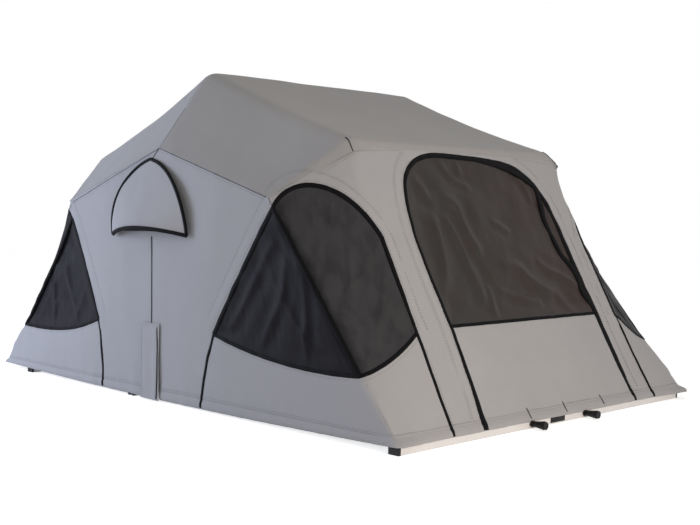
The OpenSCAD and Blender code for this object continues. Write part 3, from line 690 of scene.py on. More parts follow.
def fan(obj):
    """Bakes a cloth's place into its mesh. Its points' offsets from the fold line are worked out, but no point
    is turned."""
    co = np.zeros(len(obj.data.vertices) * 3)
    obj.data.vertices.foreach_get("co", co)
    co = co.reshape(-1, 3)
    x, z = co[:, 0] - FOLD_X, co[:, 2] - FOLD_Z
    t = np.clip(z / 0.030, 0, 1)
    t = t * t * (3 - 2 * t)
    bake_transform(obj)


def sewn(name, finish, flat, faces, points, lift, node, sizes, rests_on=None):
    """A finished cloth piece: lifted along its normals, thickened and smoothed."""
    turned = facing_out(points, faces)
    normal = point_normals(points, turned)
    obj = make_object(name, points + normal * lift[:, None], turned, flat, finish)
    slot = SLOT_OF[finish]
    thicken(obj, MESH_THICK if slot == "insect_mesh" else sizes.cloth)
    smooth(obj)
    fan(obj)
    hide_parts(node)
    if rests_on:
        declare(obj, flat, faces, points, rests_on)
    return obj


SHEETS = []
SEWN_ON = {f"{end}_end_cloth": [f"{end}_window_binding", f"{end}_door_zip", f"{end}_seam_thread"]
           for end in END_NAME.values()}
SEWN_ON.update({f"{side}_side_cloth": [f"{side}_seam_thread"] for side in SIDE_NAME.values()})
SEWN_ON.update({f"{end}_hem_cloth": [f"{end}_hem_thread"] for end in END_NAME.values()})


def declare(obj, flat, faces, points, rests_on):
    """Notes a stretched cloth's flat cut: the smallest rectangle it can be cut from, turned as needed."""
    area = sheet_area(points, faces)
    best = None
    for turn in np.radians(np.arange(0, 90, 3)):
        c, s = math.cos(turn), math.sin(turn)
        width, length = np.ptp(flat @ np.array([[c, -s], [s, c]]), axis=0)
        if best is None or width * length < best[0] * best[1]:
            best = (float(width), float(length))
    width, length = best
    grow = max(1.0, math.sqrt(area / (width * length)))
    width, length = width * grow, length * grow
    SHEETS.append((obj.name, dict(flat=(width, length), held="stretched", rests_on=list(rests_on),
                                  area=area)))


class Soup:
    """Verts and faces of many small swept pieces that make one object."""

    def __init__(self):
        self.points, self.faces, self.flat = [], [], []

    def tape(self, points, normals, width, lift, sink):
        """A bound edge: rounded tape swept along a line, with one normal or one for each point."""
        points = np.asarray(points, float)
        width = np.broadcast_to(np.asarray(width, float), (len(points),))
        tangent = unit(np.gradient(points, axis=0))
        side = unit(np.cross(tangent, normals))
        up = np.cross(side, tangent)
        section = [(-0.5, -sink), (-0.5, 0.35 * lift), (-0.36, 0.9 * lift), (0.0, lift),
                   (0.36, 0.9 * lift), (0.5, 0.35 * lift), (0.5, -sink)]
        m, n, n0 = len(section), len(points), len(self.points)
        for p, s, u, w, r in zip(points, side, up, width, run_length(points)):
            for a, b in section:
                self.points.append(p + s * a * w + u * b)
                self.flat.append((r, a * w))
        for i in range(n0, n0 + (n - 1) * m, m):
            for k in range(m):
                l = (k + 1) % m
                self.faces.append((i + k, i + l, i + m + l, i + m + k))
        self.faces.append(tuple(n0 + k for k in range(m))[::-1])
        self.faces.append(tuple(n0 + (n - 1) * m + k for k in range(m)))

    def stitches(self, points, normals, pitch):
        """A row of thread dashes lying on a line, with one normal or one for each point."""
        points = np.asarray(points, float)
        normals = np.broadcast_to(np.asarray(normals, float), points.shape)
        run = run_length(points)
        at = np.arange(pitch / 2, run[-1], pitch)
        mid, up = at_run(points, run, at), at_run(normals, run, at)
        ahead, back = at_run(points, run, at + 0.001), at_run(points, run, at - 0.001)
        for p, a, b, u in zip(mid, ahead, back, up):
            t = (a - b) / max(np.linalg.norm(a - b), TINY)
            s = np.cross(t, u)
            n0 = len(self.points)
            for q in (p - t * STITCH_LONG / 2, p + s * STITCH_THICK / 2, p + u * STITCH_THICK * 0.7,
                      p - s * STITCH_THICK / 2, p - u * STITCH_THICK * 0.4, p + t * STITCH_LONG / 2):
                self.points.append(q)
                self.flat.append((0.0, 0.0))
            for i in range(4):
                j = (i + 1) % 4
                self.faces.append((n0, n0 + 1 + j, n0 + 1 + i))
                self.faces.append((n0 + 5, n0 + 1 + i, n0 + 1 + j))

    def build(self, name, finish, angle=50):
        """The pieces as one object, with all faces looking out."""
        obj = make_object(name, self.points, self.faces, self.flat, finish)
        only(obj)
        bpy.ops.object.mode_set(mode="EDIT")
        bpy.ops.mesh.select_all(action="SELECT")
        bpy.ops.mesh.normals_make_consistent(inside=False)
        bpy.ops.object.mode_set(mode="OBJECT")
        smooth(obj, angle)
        return obj


def on_walls(path, end, sizes, lift=0.0):
    """A line in girth and height, laid on the walls with their normals and the same drape."""
    path = spaced(np.asarray(path, float), LINE_STEP, closed=False)
    g, z = path[:, 0], path[:, 1]
    p = wrap(g, z, end)
    e = 0.007  # half the step that the slope is measured over
    dg = wrap(g + e, z, end) - wrap(g - e, z, end)
    dz = wrap(g, z + e, end) - wrap(g, z - e, end)
    n = unit(np.cross(dg, dz))
    n *= np.sign((n * (p - [0, 0, MID_Z])).sum(1))[:, None]
    band = np.interp(z, [h for h, _ in HEM[::-1]], [o for _, o in HEM[::-1]])
    sunk = np.stack([0 * z, 0 * z, hem_drop(p[:, 0], z)], -1)
    rise = drape(p, np.zeros(len(p)), sizes) + np.where(z < HEM_Z, band, 0) + lift
    return p - sunk + n * rise[:, None], n


def bind(soup, path, widths, end, sizes, lift, sink):
    """Lays a bound edge on the walls. Its width runs through the given shares of the binding's."""
    p, n = on_walls(path, end, sizes)
    share = np.linspace(0, 1, len(p))
    widths = sizes.binding * np.array(widths)
    soup.tape(p, n, np.interp(share, np.linspace(0, 1, len(widths)), widths), lift, sink)


def on_side(path, side, sizes, lift, seam=0.0):
    """A line in length and height, laid on a side wall with its normals and drape."""
    path = spaced(np.asarray(path, float), LINE_STEP, closed=False)
    p = side_plane(*path.T, side)
    n = np.array([0.0, side, 0.0])
    return p + n * (drape(p, np.full(len(p), seam), sizes) + lift)[:, None], n


def beside(path, gap):
    """A line set off to one side of another, in the panel's own plane."""
    path = thinned(np.asarray(path, float), 0.004)
    t = unit(np.gradient(path, axis=0))
    return path + np.stack([-t[:, 1], t[:, 0]], -1) * gap


# ---------------------------------------------------------------- finishes
def add_node(tree, kind, inputs=None, **settings):
    """Adds a node; an input is a value or the socket that feeds it."""
    made = tree.nodes.new(kind)
    for key, value in settings.items():
        setattr(made, key, value)
    for key, value in (inputs or {}).items():
        if isinstance(value, bpy.types.NodeSocket):
            tree.links.new(value, made.inputs[key])
        else:
            made.inputs[key].default_value = value
    return made


def calc(tree, operation, *values, **settings):
    """Result of a sum on values or sockets."""
    return add_node(tree, "ShaderNodeMath", dict(enumerate(values)), operation=operation,
                    **settings).outputs[0]


def cloudy(tree, space, scale, detail, **more):
    """Noise of a given fineness, 0 to 1."""
    inputs = {"Vector": space, "Scale": scale, "Detail": detail, **more}
    return add_node(tree, "ShaderNodeTexNoise", inputs).outputs["Fac"]


def bands(tree, space, mm, direction, **more):
    """Waves with one band per mm millimetres, 0 to 1."""
    inputs = {"Vector": space, "Scale": 0.31416 / (mm / 1000), **more}
    return add_node(tree, "ShaderNodeTexWave", inputs, bands_direction=direction).outputs["Fac"]


def ranged(tree, value, ends=(0.0, 1.0), to=(0.0, 1.0)):
    """A value's range brought to another."""
    inputs = {"Value": value, "From Min": ends[0], "From Max": ends[1], "To Min": to[0], "To Max": to[1]}
    return add_node(tree, "ShaderNodeMapRange", inputs).outputs[0]


def stretched(tree, space, scale):
    """A texture space scaled along its axes."""
    return add_node(tree, "ShaderNodeMapping", {"Vector": space, "Scale": scale}).outputs[0]


def relief(tree, height, strength, distance, **below):
    """Normals of a bumpy surface, on those of a coarser one where given."""
    inputs = {"Height": height, "Strength": strength, "Distance": distance, **below}
    return add_node(tree, "ShaderNodeBump", inputs).outputs[0]


def own_space(tree):
    """A piece's own space, in metres."""
    return add_node(tree, "ShaderNodeTexCoord").outputs["Object"]


def cut_space(tree):
    """A cloth's flat cut, in metres."""
    return add_node(tree, "ShaderNodeUVMap", uv_map="cut").outputs["UV"]


def new_finish(name, **values):
    """A new material's nodes and shader, with the shader's values set."""
    mat = bpy.data.materials.new(name)
    mat.use_nodes = True
    tree = mat.node_tree
    bsdf = tree.nodes["Principled BSDF"]
    for key, value in values.items():
        bsdf.inputs[key.replace("_", " ")].default_value = value
    return tree, bsdf


def shade_of(rgba, factor):
    """A colour made lighter or darker."""
    return [min(1.0, c * factor) for c in rgba[:3]] + [1.0]


def tint(tree, low, high, factor):
    """A colour between two."""
    mix = add_node(tree, "ShaderNodeMix", {"Factor": factor, "A": low, "B": high}, data_type="RGBA")
    return mix.outputs["Result"]


def woven_canvas(name, rgba):
    """Coated polycotton canvas, plain weave: matte, faintly uneven in tone, with a fine thread relief.
    Threads are 0.6 mm in life and drawn at 2.4 mm, so that they just show."""
    tree, bsdf = new_finish(name, Roughness=0.86, Sheen_Weight=0.12, Sheen_Roughness=0.5,
                            Specular_IOR_Level=0.28)
    place, cut = own_space(tree), cut_space(tree)
    tone = calc(tree, "ADD", cloudy(tree, place, 4.5, 5.0, Roughness=0.62), cloudy(tree, cut, 260.0, 3.0))
    half = calc(tree, "MULTIPLY", tone, 0.5)
    tree.links.new(tint(tree, shade_of(rgba, 0.86), shade_of(rgba, 1.14), half), bsdf.inputs["Base Color"])
    warp, weft = (bands(tree, cut, 2.4, way, Distortion=0.6, Detail=1.0) for way in "XY")
    crease = cloudy(tree, place, 28.0, 4.0, Roughness=0.55)
    soft = relief(tree, crease, 0.25, 0.003)
    fine = relief(tree, calc(tree, "MULTIPLY", warp, weft), 0.25, 0.0004, Normal=soft)
    tree.links.new(fine, bsdf.inputs["Normal"])


def knitted_mesh(name, dark, lit_colour, spec):
    """Polyester insect mesh with a clear film behind it: nearly black, with painted light that makes it lighter
    towards the door and the near side, painted streaks of sheen and shade, and soft streaks of shine along its
    creases. Holes are about 1 mm in life and drawn at 3 mm."""
    tree, bsdf = new_finish(name, Roughness=0.44, Specular_IOR_Level=spec)
    place, cut = own_space(tree), cut_space(tree)
    # painted light: the mesh is made lighter on the door's side of the piped fold,
    # and less so on the far side of the tent
    peak, foot = fold_line(1)[[0, -1]]
    lean = float((peak[0] - foot[0]) / (peak[1] - foot[1]))
    edge = float(foot[0] - lean * foot[1])
    split = add_node(tree, "ShaderNodeSeparateXYZ", {0: cut})
    girth = calc(tree, "ABSOLUTE", split.outputs[0])
    past = calc(tree, "MULTIPLY_ADD", split.outputs[1], -lean, girth)
    width = add_node(tree, "ShaderNodeSeparateXYZ", {0: place}).outputs[1]
    # painted light fades from the near side of the tent to the far side
    near_light = ranged(tree, width, (-0.2, 0.5), (1.0, 0.3))
    painted_light = calc(tree, "MULTIPLY", ranged(tree, past, (edge + 0.02, edge - 0.06)), near_light)
    # painted sheen and shade: tall streaks of noise that lighten and darken the mesh's colour
    streak_noise = cloudy(tree, stretched(tree, place, (1.0, 1.0, 0.3)), 24.0, 3.0, Distortion=0.3)
    painted_streaks = ranged(tree, streak_noise, (0.3, 0.7), (-0.36, 0.20))
    both = calc(tree, "ADD", painted_light, painted_streaks, use_clamp=True)
    tree.links.new(tint(tree, dark, lit_colour, both), bsdf.inputs["Base Color"])
    across, down = (bands(tree, cut, 3.0, way) for way in "XY")
    wrinkle = cloudy(tree, stretched(tree, cut, (1.0, 0.35, 1.0)), 24.0, 2.0, Distortion=0.3)
    soft = relief(tree, wrinkle, 0.35, 0.006)
    fine = relief(tree, calc(tree, "MULTIPLY", across, down), 0.3, 0.0004, Normal=soft)
    tree.links.new(fine, bsdf.inputs["Normal"])


def ribbed_tape(name, rgba):
    """Black polyester webbing, woven: ribs across its length and a dry satin shine."""
    tree, bsdf = new_finish(name, Roughness=0.66, Specular_IOR_Level=0.06)
    cut = cut_space(tree)
    wear = cloudy(tree, cut, 40.0, 3.0)
    tree.links.new(tint(tree, shade_of(rgba, 0.75), shade_of(rgba, 1.9), wear), bsdf.inputs["Base Color"])
    ribs = relief(tree, bands(tree, cut, 3.0, "X", Distortion=0.4), 0.4, 0.0006)
    tree.links.new(ribs, bsdf.inputs["Normal"])


def grained(name, rgba, metal, rough, grain_mm, spread, depth, stretch=(1, 1, 1), spec=0.5):
    """Hard surface with a grain of real size, lightly uneven in tone and shine: metalness, roughness, size of
    the grain in millimetres, spread of tone, depth of the grain in metres, and how far it is drawn out."""
    tree, bsdf = new_finish(name, Metallic=metal, Specular_IOR_Level=spec)
    place = own_space(tree)
    fine = cloudy(tree, stretched(tree, place, stretch), 1000 / grain_mm, 3.0)
    tone = tint(tree, shade_of(rgba, 1 - spread), shade_of(rgba, 1 + spread), cloudy(tree, place, 9.0, 4.0))
    tree.links.new(tone, bsdf.inputs["Base Color"])
    shine = ranged(tree, fine, to=(rough - 0.08, rough + 0.08))
    tree.links.new(shine, bsdf.inputs["Roughness"])
    tree.links.new(relief(tree, fine, 0.3, depth), bsdf.inputs["Normal"])


class TENT_OT_finishes(bpy.types.Operator):
    """Make the finishes and put them on the platform, rails, hinges and bows"""
    bl_idname = "tent.finishes"
    bl_label = "Finishes"

    def execute(self, context):
        tone = context.scene.tent_colours
        woven_canvas("woven_wall_canvas", list(tone.wall))
        woven_canvas("woven_roof_canvas", list(tone.roof))
        # its second colour is painted light, on the mesh's face towards the door end
        knitted_mesh("knitted_insect_mesh", list(tone.mesh), list(tone.lit_mesh), 0.03)
        # its second colour is a painted sheen, on the door mesh's near side
        knitted_mesh("knitted_door_mesh", list(tone.door), list(tone.sheened_door), 0.12)
        ribbed_tape("woven_binding_tape", list(tone.tape))
        # spun polyester thread: dull, a shade darker than the cloth
        grained("spun_thread", list(tone.thread), 0.0, 0.8, 1.0, 0.2, 0.0002, spec=0.2)
        # powder-coated aluminium: cream, even, with a faint orange peel
        grained("powder_coated_rail", list(tone.rail), 0.0, 0.5, 2.0, 0.05, 0.0002)
        # mill-finish aluminium extrusion: soft lines drawn along it
        grained("extruded_aluminium", linear("B9BBBE"), 1.0, 0.38, 1.5, 0.06, 0.0002, (0.05, 1, 1))
        # zinc-plated steel: bright grey with a cloudy spangle
        grained("zinc_plated_steel", linear("AEB0B3"), 1.0, 0.34, 3.0, 0.12, 0.0001)
        # moulded nylon: black with a fine spark-eroded grain
        grained("moulded_black_nylon", list(tone.plastic), 0.0, 0.55, 0.8, 0.25, 0.0003, spec=0.25)
        # composite floor board: satin pale skin
        grained("composite_board", linear("C6C5C0"), 0.0, 0.5, 4.0, 0.05, 0.0003)
        # anodised tube: satin grey, brushed along its length
        grained("anodised_tube", linear("B4B5B8"), 1.0, 0.36, 1.2, 0.05, 0.0001, (1, 1, 0.1))
        # knitted mattress cover: soft charcoal
        grained("knitted_cover", linear("5A5E64"), 0.0, 0.9, 3.0, 0.15, 0.001, spec=0.2)
        of_slot = {"floor_board": "composite_board", "edge_extrusion": "extruded_aluminium",
                   "rail_extrusion": "powder_coated_rail", "black_plastic": "moulded_black_nylon",
                   "plated_steel": "zinc_plated_steel", "bow_tube": "anodised_tube"}
        for part in frame["record"]["subparts"]:
            finish = of_slot.get(part["material_slot"])
            if finish:
                obj = frame["nodes"][part["node"]]
                obj.data.materials.clear()
                obj.data.materials.append(bpy.data.materials[finish])
        return {"FINISHED"}


# ---------------------------------------------------------------- cloth pieces
def rounded(points, cut):
    """A polyline's corners eased with short curves; points are rows of 3D points, one row per corner."""
    out = [points[0][None]]
    for i in range(1, len(points) - 1):
        a, b, c = points[i - 1], points[i], points[i + 1]
        la = np.maximum(np.linalg.norm(b - a, axis=1), TINY)[:, None]
        lc = np.maximum(np.linalg.norm(c - b, axis=1), TINY)[:, None]
        p = b + (a - b) * np.minimum(cut[i] / la, 0.45)
        q = b + (c - b) * np.minimum(cut[i] / lc, 0.45)
        t = np.linspace(0, 1, 7)[:, None, None]
        out.append((1 - t) ** 2 * p + 2 * t * (1 - t) * b + t ** 2 * q)
    out.append(points[-1][None])
    return np.concatenate(out)


# How much of the roof's cross lines is eased into a curve at the flanges, eaves and ridge.
ROOF_CUTS = [0, 0.016, 0.022, 0.016, 0]


def roof_rows(sizes):
    """Cross lines of the roof from the rear flange over the ridge to the front flange."""
    def across(end_pt, mid_pt, cut):
        middle = np.array([[mid_pt[0], 0.0, mid_pt[2]]])
        half = rounded([np.array([end_pt]), np.array([mid_pt]), middle], [0, cut, 0])[:, 0]
        return np.vstack([half, (half * [1, -1, 1])[::-1][1:]])

    count = int(1.80 / sizes.cell)

    def even(points):
        run = run_length(points)
        return at_run(points, run, np.linspace(0, run[-1], count))

    ridge = even(across((0, -HALF_W, GABLE_Z), (0, -EAVE_Y, RIDGE_Z), 0.036))
    eave = even(across((SHOULDER_X, -HALF_W, SHOULDER_Z), (EAVE_X, -EAVE_Y, EAVE_Z), 0.036))
    share = np.clip((HALF_W - np.abs(eave[:, 1])) / (HALF_W - EAVE_Y), 0, 1)[:, None]
    down = np.array([[HALF_L - SHOULDER_X, 0, RAIL_Z - SHOULDER_Z]]) * (1 - share)
    down = down + np.array([[HALF_L - EAVE_X, 0, RAIL_Z - EAVE_Z]]) * share
    down = down / -down[:, 2:3]
    # the flange is narrow along the gables and full along the eave
    drop = 0.005 + (FLANGE - 0.005) * share
    front = [eave + down * drop, eave, ridge]
    # the flange flares at its corners, most at the far one, and hangs lower at the near one
    flare = bell(np.abs(eave[:, 1:2]) - EAVE_Y, 0.05)
    far = eave[:, 1:2] > 0
    front[0] = front[0] + flare * np.concatenate([0 * share + 0.007, np.where(far, 0.042, -0.005),
                                                  np.where(far, -0.010, 0.0)], 1)
    corner = np.clip(1 - (eave[:, 1:2] + EAVE_Y) / 0.20, 0, 1) ** 0.7 * share
    front[0] = front[0] + 0.013 * corner * down
    # the rear slope is fuller than the front one
    puff = np.concatenate([0.010 + 0.014 * (1 - share), 0 * share, 0.005 * (1 - share)], 1)
    back = [(p + (puff if i < 2 else 0)) * [-1, 1, 1] for i, p in enumerate(front)]
    return [back[0], back[1], ridge, front[1], front[0]]


class TENT_OT_roof(bpy.types.Operator):
    """Sew the roof cover: one sheet over the ridge, shoulders and eaves"""
    bl_idname = "tent.roof"
    bl_label = "Roof cover"

    def execute(self, context):
        sizes = context.scene.tent_sizes
        rows = rounded(roof_rows(sizes), ROOF_CUTS)
        dense = []
        for a, b in zip(rows, rows[1:]):
            n = max(1, round(float(np.linalg.norm(b - a, axis=1).max()) / sizes.cell))
            dense += [a + (b - a) * i / n for i in range(n)]
        grid = np.array(dense + [rows[-1]])
        pts, quads = grid.reshape(-1, 3), grid_quads(*grid.shape[:2])
        step = np.linalg.norm(np.diff(grid, axis=0), axis=2).mean(1)
        wide = np.linalg.norm(np.diff(grid, axis=1), axis=2).mean(0)
        v = np.concatenate([[0], np.cumsum(step)])
        u = np.concatenate([[0], np.cumsum(wide)])
        flat = np.stack(np.meshgrid(u, v), -1).reshape(-1, 2)
        seam = np.minimum(np.minimum(flat[:, 0], u[-1] - flat[:, 0]),
                          np.minimum(flat[:, 1], v[-1] - flat[:, 1]))
        along = np.clip(np.abs(pts[:, 0]) / EAVE_X, 0, 1)
        inner = np.clip(seam / 0.12, 0, 1)
        slump = -sizes.sag * 4 * along * (1 - along) * inner
        lift = drape(pts, seam, sizes) + slump
        sewn("roof_cover_cloth", "woven_roof_canvas", flat, quads, pts, lift, "roof_cover", sizes,
             ["centre_bow", "rear_bow", "front_bow"])
        return {"FINISHED"}


class TENT_OT_side_walls(bpy.types.Operator):
    """Sew the two long side walls, with the vent opening"""
    bl_idname = "tent.side_walls"
    bl_label = "Side walls"

    def execute(self, context):
        sizes = context.scene.tent_sizes
        flat, tris, seam = cut_panel(side_outline(), sizes.cell, [vent_outline(0.032)])
        # doubled band of cloth beside each window
        band = rim(beside_lines(flat, [to_side(window_left(end), end) for end in (1, -1)]))
        for side in (-1, 1):
            name = SIDE_NAME[side]
            pts = side_plane(*flat.T, side)
            pull = 0.0016 * folds(*flat.T, 0.0, 0.16, 0.9, 2.0 + side)
            lift = drape(pts, seam, sizes) + pull * np.clip(seam / 0.1, 0, 1) + band
            sewn(f"{name}_side_cloth", "woven_wall_canvas", flat, tris, pts, lift, f"{name}_side_wall", sizes,
                 ["roof_cover_cloth"])
        return {"FINISHED"}


class TENT_OT_end_walls(bpy.types.Operator):
    """Sew the end walls, their door panels and the lower corner panels"""
    bl_idname = "tent.end_walls"
    bl_label = "End walls"

    def execute(self, context):
        sizes = context.scene.tent_sizes
        sill = DOOR_SILL - 0.004
        low = np.vstack([door_half(1, HEM_Z, sill), [[door_at(1, sill), sill]], [[-door_at(-1, sill), sill]],
                         mirrored(door_half(-1, HEM_Z, sill))])
        canvas = "woven_wall_canvas"
        for end in (1, -1):
            name = END_NAME[end]
            edges = [door_half(s) * [s, 1] for s in (-1, 1)]
            arches = [np.vstack([window_arch(end, s), window_right(s)[1:]]) * [s, 1] for s in (-1, 1)]
            flat, tris, seam, pts = laid(end_outline(), sizes.cell * 0.7, end)
            band = rim(beside_lines(flat, edges)) + rim(beside_lines(flat, arches))
            sewn(f"{name}_end_cloth", canvas, flat, tris, pts, drape(pts, seam, sizes) + band,
                 f"{name}_end_wall", sizes, ["roof_cover_cloth"])
            flat, tris, seam, pts = laid(low, sizes.cell, end)
            belly = 0.010 * np.clip(seam / 0.14, 0, 1) ** 0.8
            sewn(f"{name}_door_cloth", canvas, flat, tris, pts, drape(pts, seam, sizes) + belly,
                 f"{name}_door_panel", sizes, [f"{name}_end_cloth"])
            for side in (-1, 1):
                corner = f"{name}_{SIDE_NAME[side]}"
                flat, tris, seam, pts = laid(corner_outline(end, side) * [side, 1], sizes.cell, end)
                sewn(f"{corner}_corner_cloth", canvas, flat, tris, pts, drape(pts, seam, sizes),
                     f"{name}_corner_panels", sizes, [f"{SIDE_NAME[side]}_side_cloth"])
                flat, tris, seam, pts = laid(strip_outline(end, side) * [side, 1], sizes.cell * 0.8, end)
                band = rim(beside_lines(flat, arches))
                strip = sewn(f"{corner}_arch_cloth", canvas, flat, tris, pts, drape(pts, seam, sizes) + band,
                             f"{name}_corner_panels", sizes)
                # a bias-cut strip eased round the arch: its flat cut is its mean width by the arch's length
                arch = wrap(*window_arch(end, side).T, end)
                long = float(np.linalg.norm(np.diff(arch, axis=0), axis=1).sum()) * 1.05
                SHEETS.append((strip.name, dict(flat=(sheet_area(pts, tris) / long, long), held="stretched",
                                                rests_on=[f"{name}_end_cloth"])))
        return {"FINISHED"}


class TENT_OT_mesh_windows(bpy.types.Operator):
    """Hang the insect mesh in the corner windows, doors and vents"""
    bl_idname = "tent.mesh_windows"
    bl_label = "Mesh windows"

    def execute(self, context):
        sizes = context.scene.tent_sizes
        top = np.vstack([door_half(1, DOOR_SILL), mirrored(door_half(-1, DOOR_SILL))[1:]])
        insect, depth = "knitted_insect_mesh", sizes.mesh_fold
        for end in (1, -1):
            name = END_NAME[end]
            for side in (-1, 1):
                flat, tris, seam, pts = laid(window_outline(end, side) * [side, 1], sizes.cell * 0.5, end)
                g, z = np.abs(flat[:, 0]), flat[:, 1]
                free = np.clip(seam / 0.05, 0, 1)
                sharp = (0.6 if end > 0 else 0.8) * creased(np.stack([g, z], -1), WINDOW_CREASES, 0.013)
                lift = depth * free * (0.5 * folds(g, z, -0.50, 0.11, 0.40, 1.7 + end)
                                       + 0.9 * waves(pts, 7.0, 2.4 + side + end) + sharp)
                sewn(f"{name}_{SIDE_NAME[side]}_window_mesh", insect, flat, tris, pts, lift - 0.004 * free,
                     f"{name}_corner_mesh", sizes, [f"{name}_end_cloth"])
            flat, tris, seam, pts = laid(top, sizes.cell * 0.45, end)
            free = np.clip(seam / 0.05, 0, 1)
            lift = depth * free * (1.1 * waves(pts, 6.0, 5.7 + end)
                                   + 0.4 * folds(*flat.T, -0.5, 0.12, 0.4, 9.3)
                                   + 0.5 * waves(pts, 15.0, 1.9)
                                   + 1.5 * creased(flat, DOOR_CREASES[:DEEP_CREASES], 0.019)
                                   + 1.0 * creased(flat, DOOR_CREASES[DEEP_CREASES:], 0.012))
            sewn(f"{name}_door_mesh_cloth", "knitted_door_mesh", flat, tris, pts, lift - 0.006 * free,
                 f"{name}_door_mesh", sizes, [f"{name}_end_cloth"])
        flat, tris, seam = cut_panel(vent_outline(0.028), sizes.cell)
        for side in (-1, 1):
            pts = side_plane(*flat.T, side) - [0, 0.002 * side, 0]
            sewn(f"{SIDE_NAME[side]}_vent_mesh", insect, flat, tris, pts, drape(pts, seam, sizes),
                 "vent_mesh", sizes, [f"{SIDE_NAME[side]}_side_cloth"])
        return {"FINISHED"}


def hood_point(s, v, side):
    """Point of a vent's hood: s across it from -1 to 1, v from its lip up to its top."""
    w = np.maximum(vent_half(v), 0.002)
    # the sides stand out a little, and the middle of the lip by VENT_OUT
    sides = 0.012 * (1 - v) + 0.014 * np.sin(math.pi * v)
    out = sides + (VENT_OUT * (1 - v) ** 1.1 - sides) * (1 - s * s)
    return np.stack([VENT_X + s * w, side * (HALF_W + 0.0036 + out),
                     VENT_Z + VENT_H * v + 0.026 * (1 - v) ** 3 * (1 - s * s)], -1)


class TENT_OT_vent_hoods(bpy.types.Operator):
    """Sew the hooded vents with their bound edges"""
    bl_idname = "tent.vent_hoods"
    bl_label = "Vent hoods"

    def execute(self, context):
        sizes = context.scene.tent_sizes
        nu, nv = 46, 36
        s, v = np.meshgrid(np.linspace(-1, 1, nu), np.linspace(0, 1, nv))
        quads = grid_quads(nv, nu)
        for side in (-1, 1):
            pts = hood_point(s, v, side).reshape(-1, 3)
            flat = np.stack([s.ravel() * VENT_HALF, v.ravel() * VENT_H * 1.05], -1)
            lift = 0.0022 * waves(pts, 14.0, 6.1 + side)
            hood = sewn(f"{SIDE_NAME[side]}_vent_hood", "woven_wall_canvas", flat, quads, pts, lift,
                        "vent_hoods", sizes)
            tape = Soup()
            w = sizes.binding
            for across in (-1.0, 1.0):
                p = hood_point(np.full(40, across), np.linspace(0, 1, 40), side)
                p[-1, 2] += 0.002
                tape.tape(p, [0.0, side, 0.0], width=w * 0.78, lift=0.0032, sink=0.004)
            lip = hood_point(np.linspace(-1, 1, 50), np.zeros(50), side)
            tape.tape(lip, [0.0, side * 0.8, -0.6], width=w * 0.98, lift=0.0026, sink=0.004)
            edge = tape.build(f"{SIDE_NAME[side]}_vent_binding", "woven_binding_tape")
            fan(edge)
        return {"FINISHED"}


class TENT_OT_skirts(bpy.types.Operator):
    """Sew the hem band round each half of the platform, with its rolled lower edge"""
    bl_idname = "tent.skirts"
    bl_label = "Hem bands"

    def execute(self, context):
        sizes = context.scene.tent_sizes
        for end, body in ((1, "fold_platform"), (-1, "base")):
            reach = HALF_L + HALF_W - BAND_GAP
            t = np.linspace(-1, 1, int(2 * reach / sizes.cell))
            rows = []
            for z, out in HEM:
                g = t * (end_x(z) + HALF_W - BAND_GAP)
                p = wrap(g, np.full(len(g), z), end)
                e = 0.012
                tan = wrap(g + e, np.full(len(g), z), end) - wrap(g - e, np.full(len(g), z), end)
                n = unit(np.cross(tan, [0, 0, 1.0]))
                n *= np.sign((n * p * [1, 1, 0]).sum(1))[:, None]
                # the loose corner of the band stands off its rail, most at the far door corner
                lip = np.where(p[:, 1] > 0, *BAND_LIP[end]) * bell(np.abs(g) - HALF_W, 0.085)
                lip = lip * ((HEM_Z - z) / (HEM_Z - HEM_LOW)) ** 1.3
                sunk = np.stack([0 * g, 0 * g, hem_drop(p[:, 0], z) - 0.25 * lip], -1)
                out = out + lip + drape(p, np.zeros(len(p)), sizes) + 0.0009 * waves(p, 21.0, 5.5)
                rows.append(p - sunk + n * out[:, None])
            grid = np.array(rows)
            pts = grid.reshape(-1, 3)
            flat = np.stack(np.meshgrid(t * reach, [z for z, _ in HEM]), -1).reshape(-1, 2)
            quads = facing_out(pts, grid_quads(*grid.shape[:2]))
            skirt = make_object(f"{END_NAME[end]}_hem_cloth", pts, quads, flat, "woven_wall_canvas")
            thicken(skirt, sizes.cloth)
            smooth(skirt)
            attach(skirt, body)
            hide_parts("fold_skirt" if end > 0 else "base_skirt")
            SHEETS.append((skirt.name, dict(flat=(BAND_CUT, 2 * reach), held="stretched",
                                            rests_on=["fold_edge_frame" if end > 0 else "base_edge_frame"],
                                            area=min(sheet_area(pts, quads), BAND_CUT * 2 * reach))))
        return {"FINISHED"}


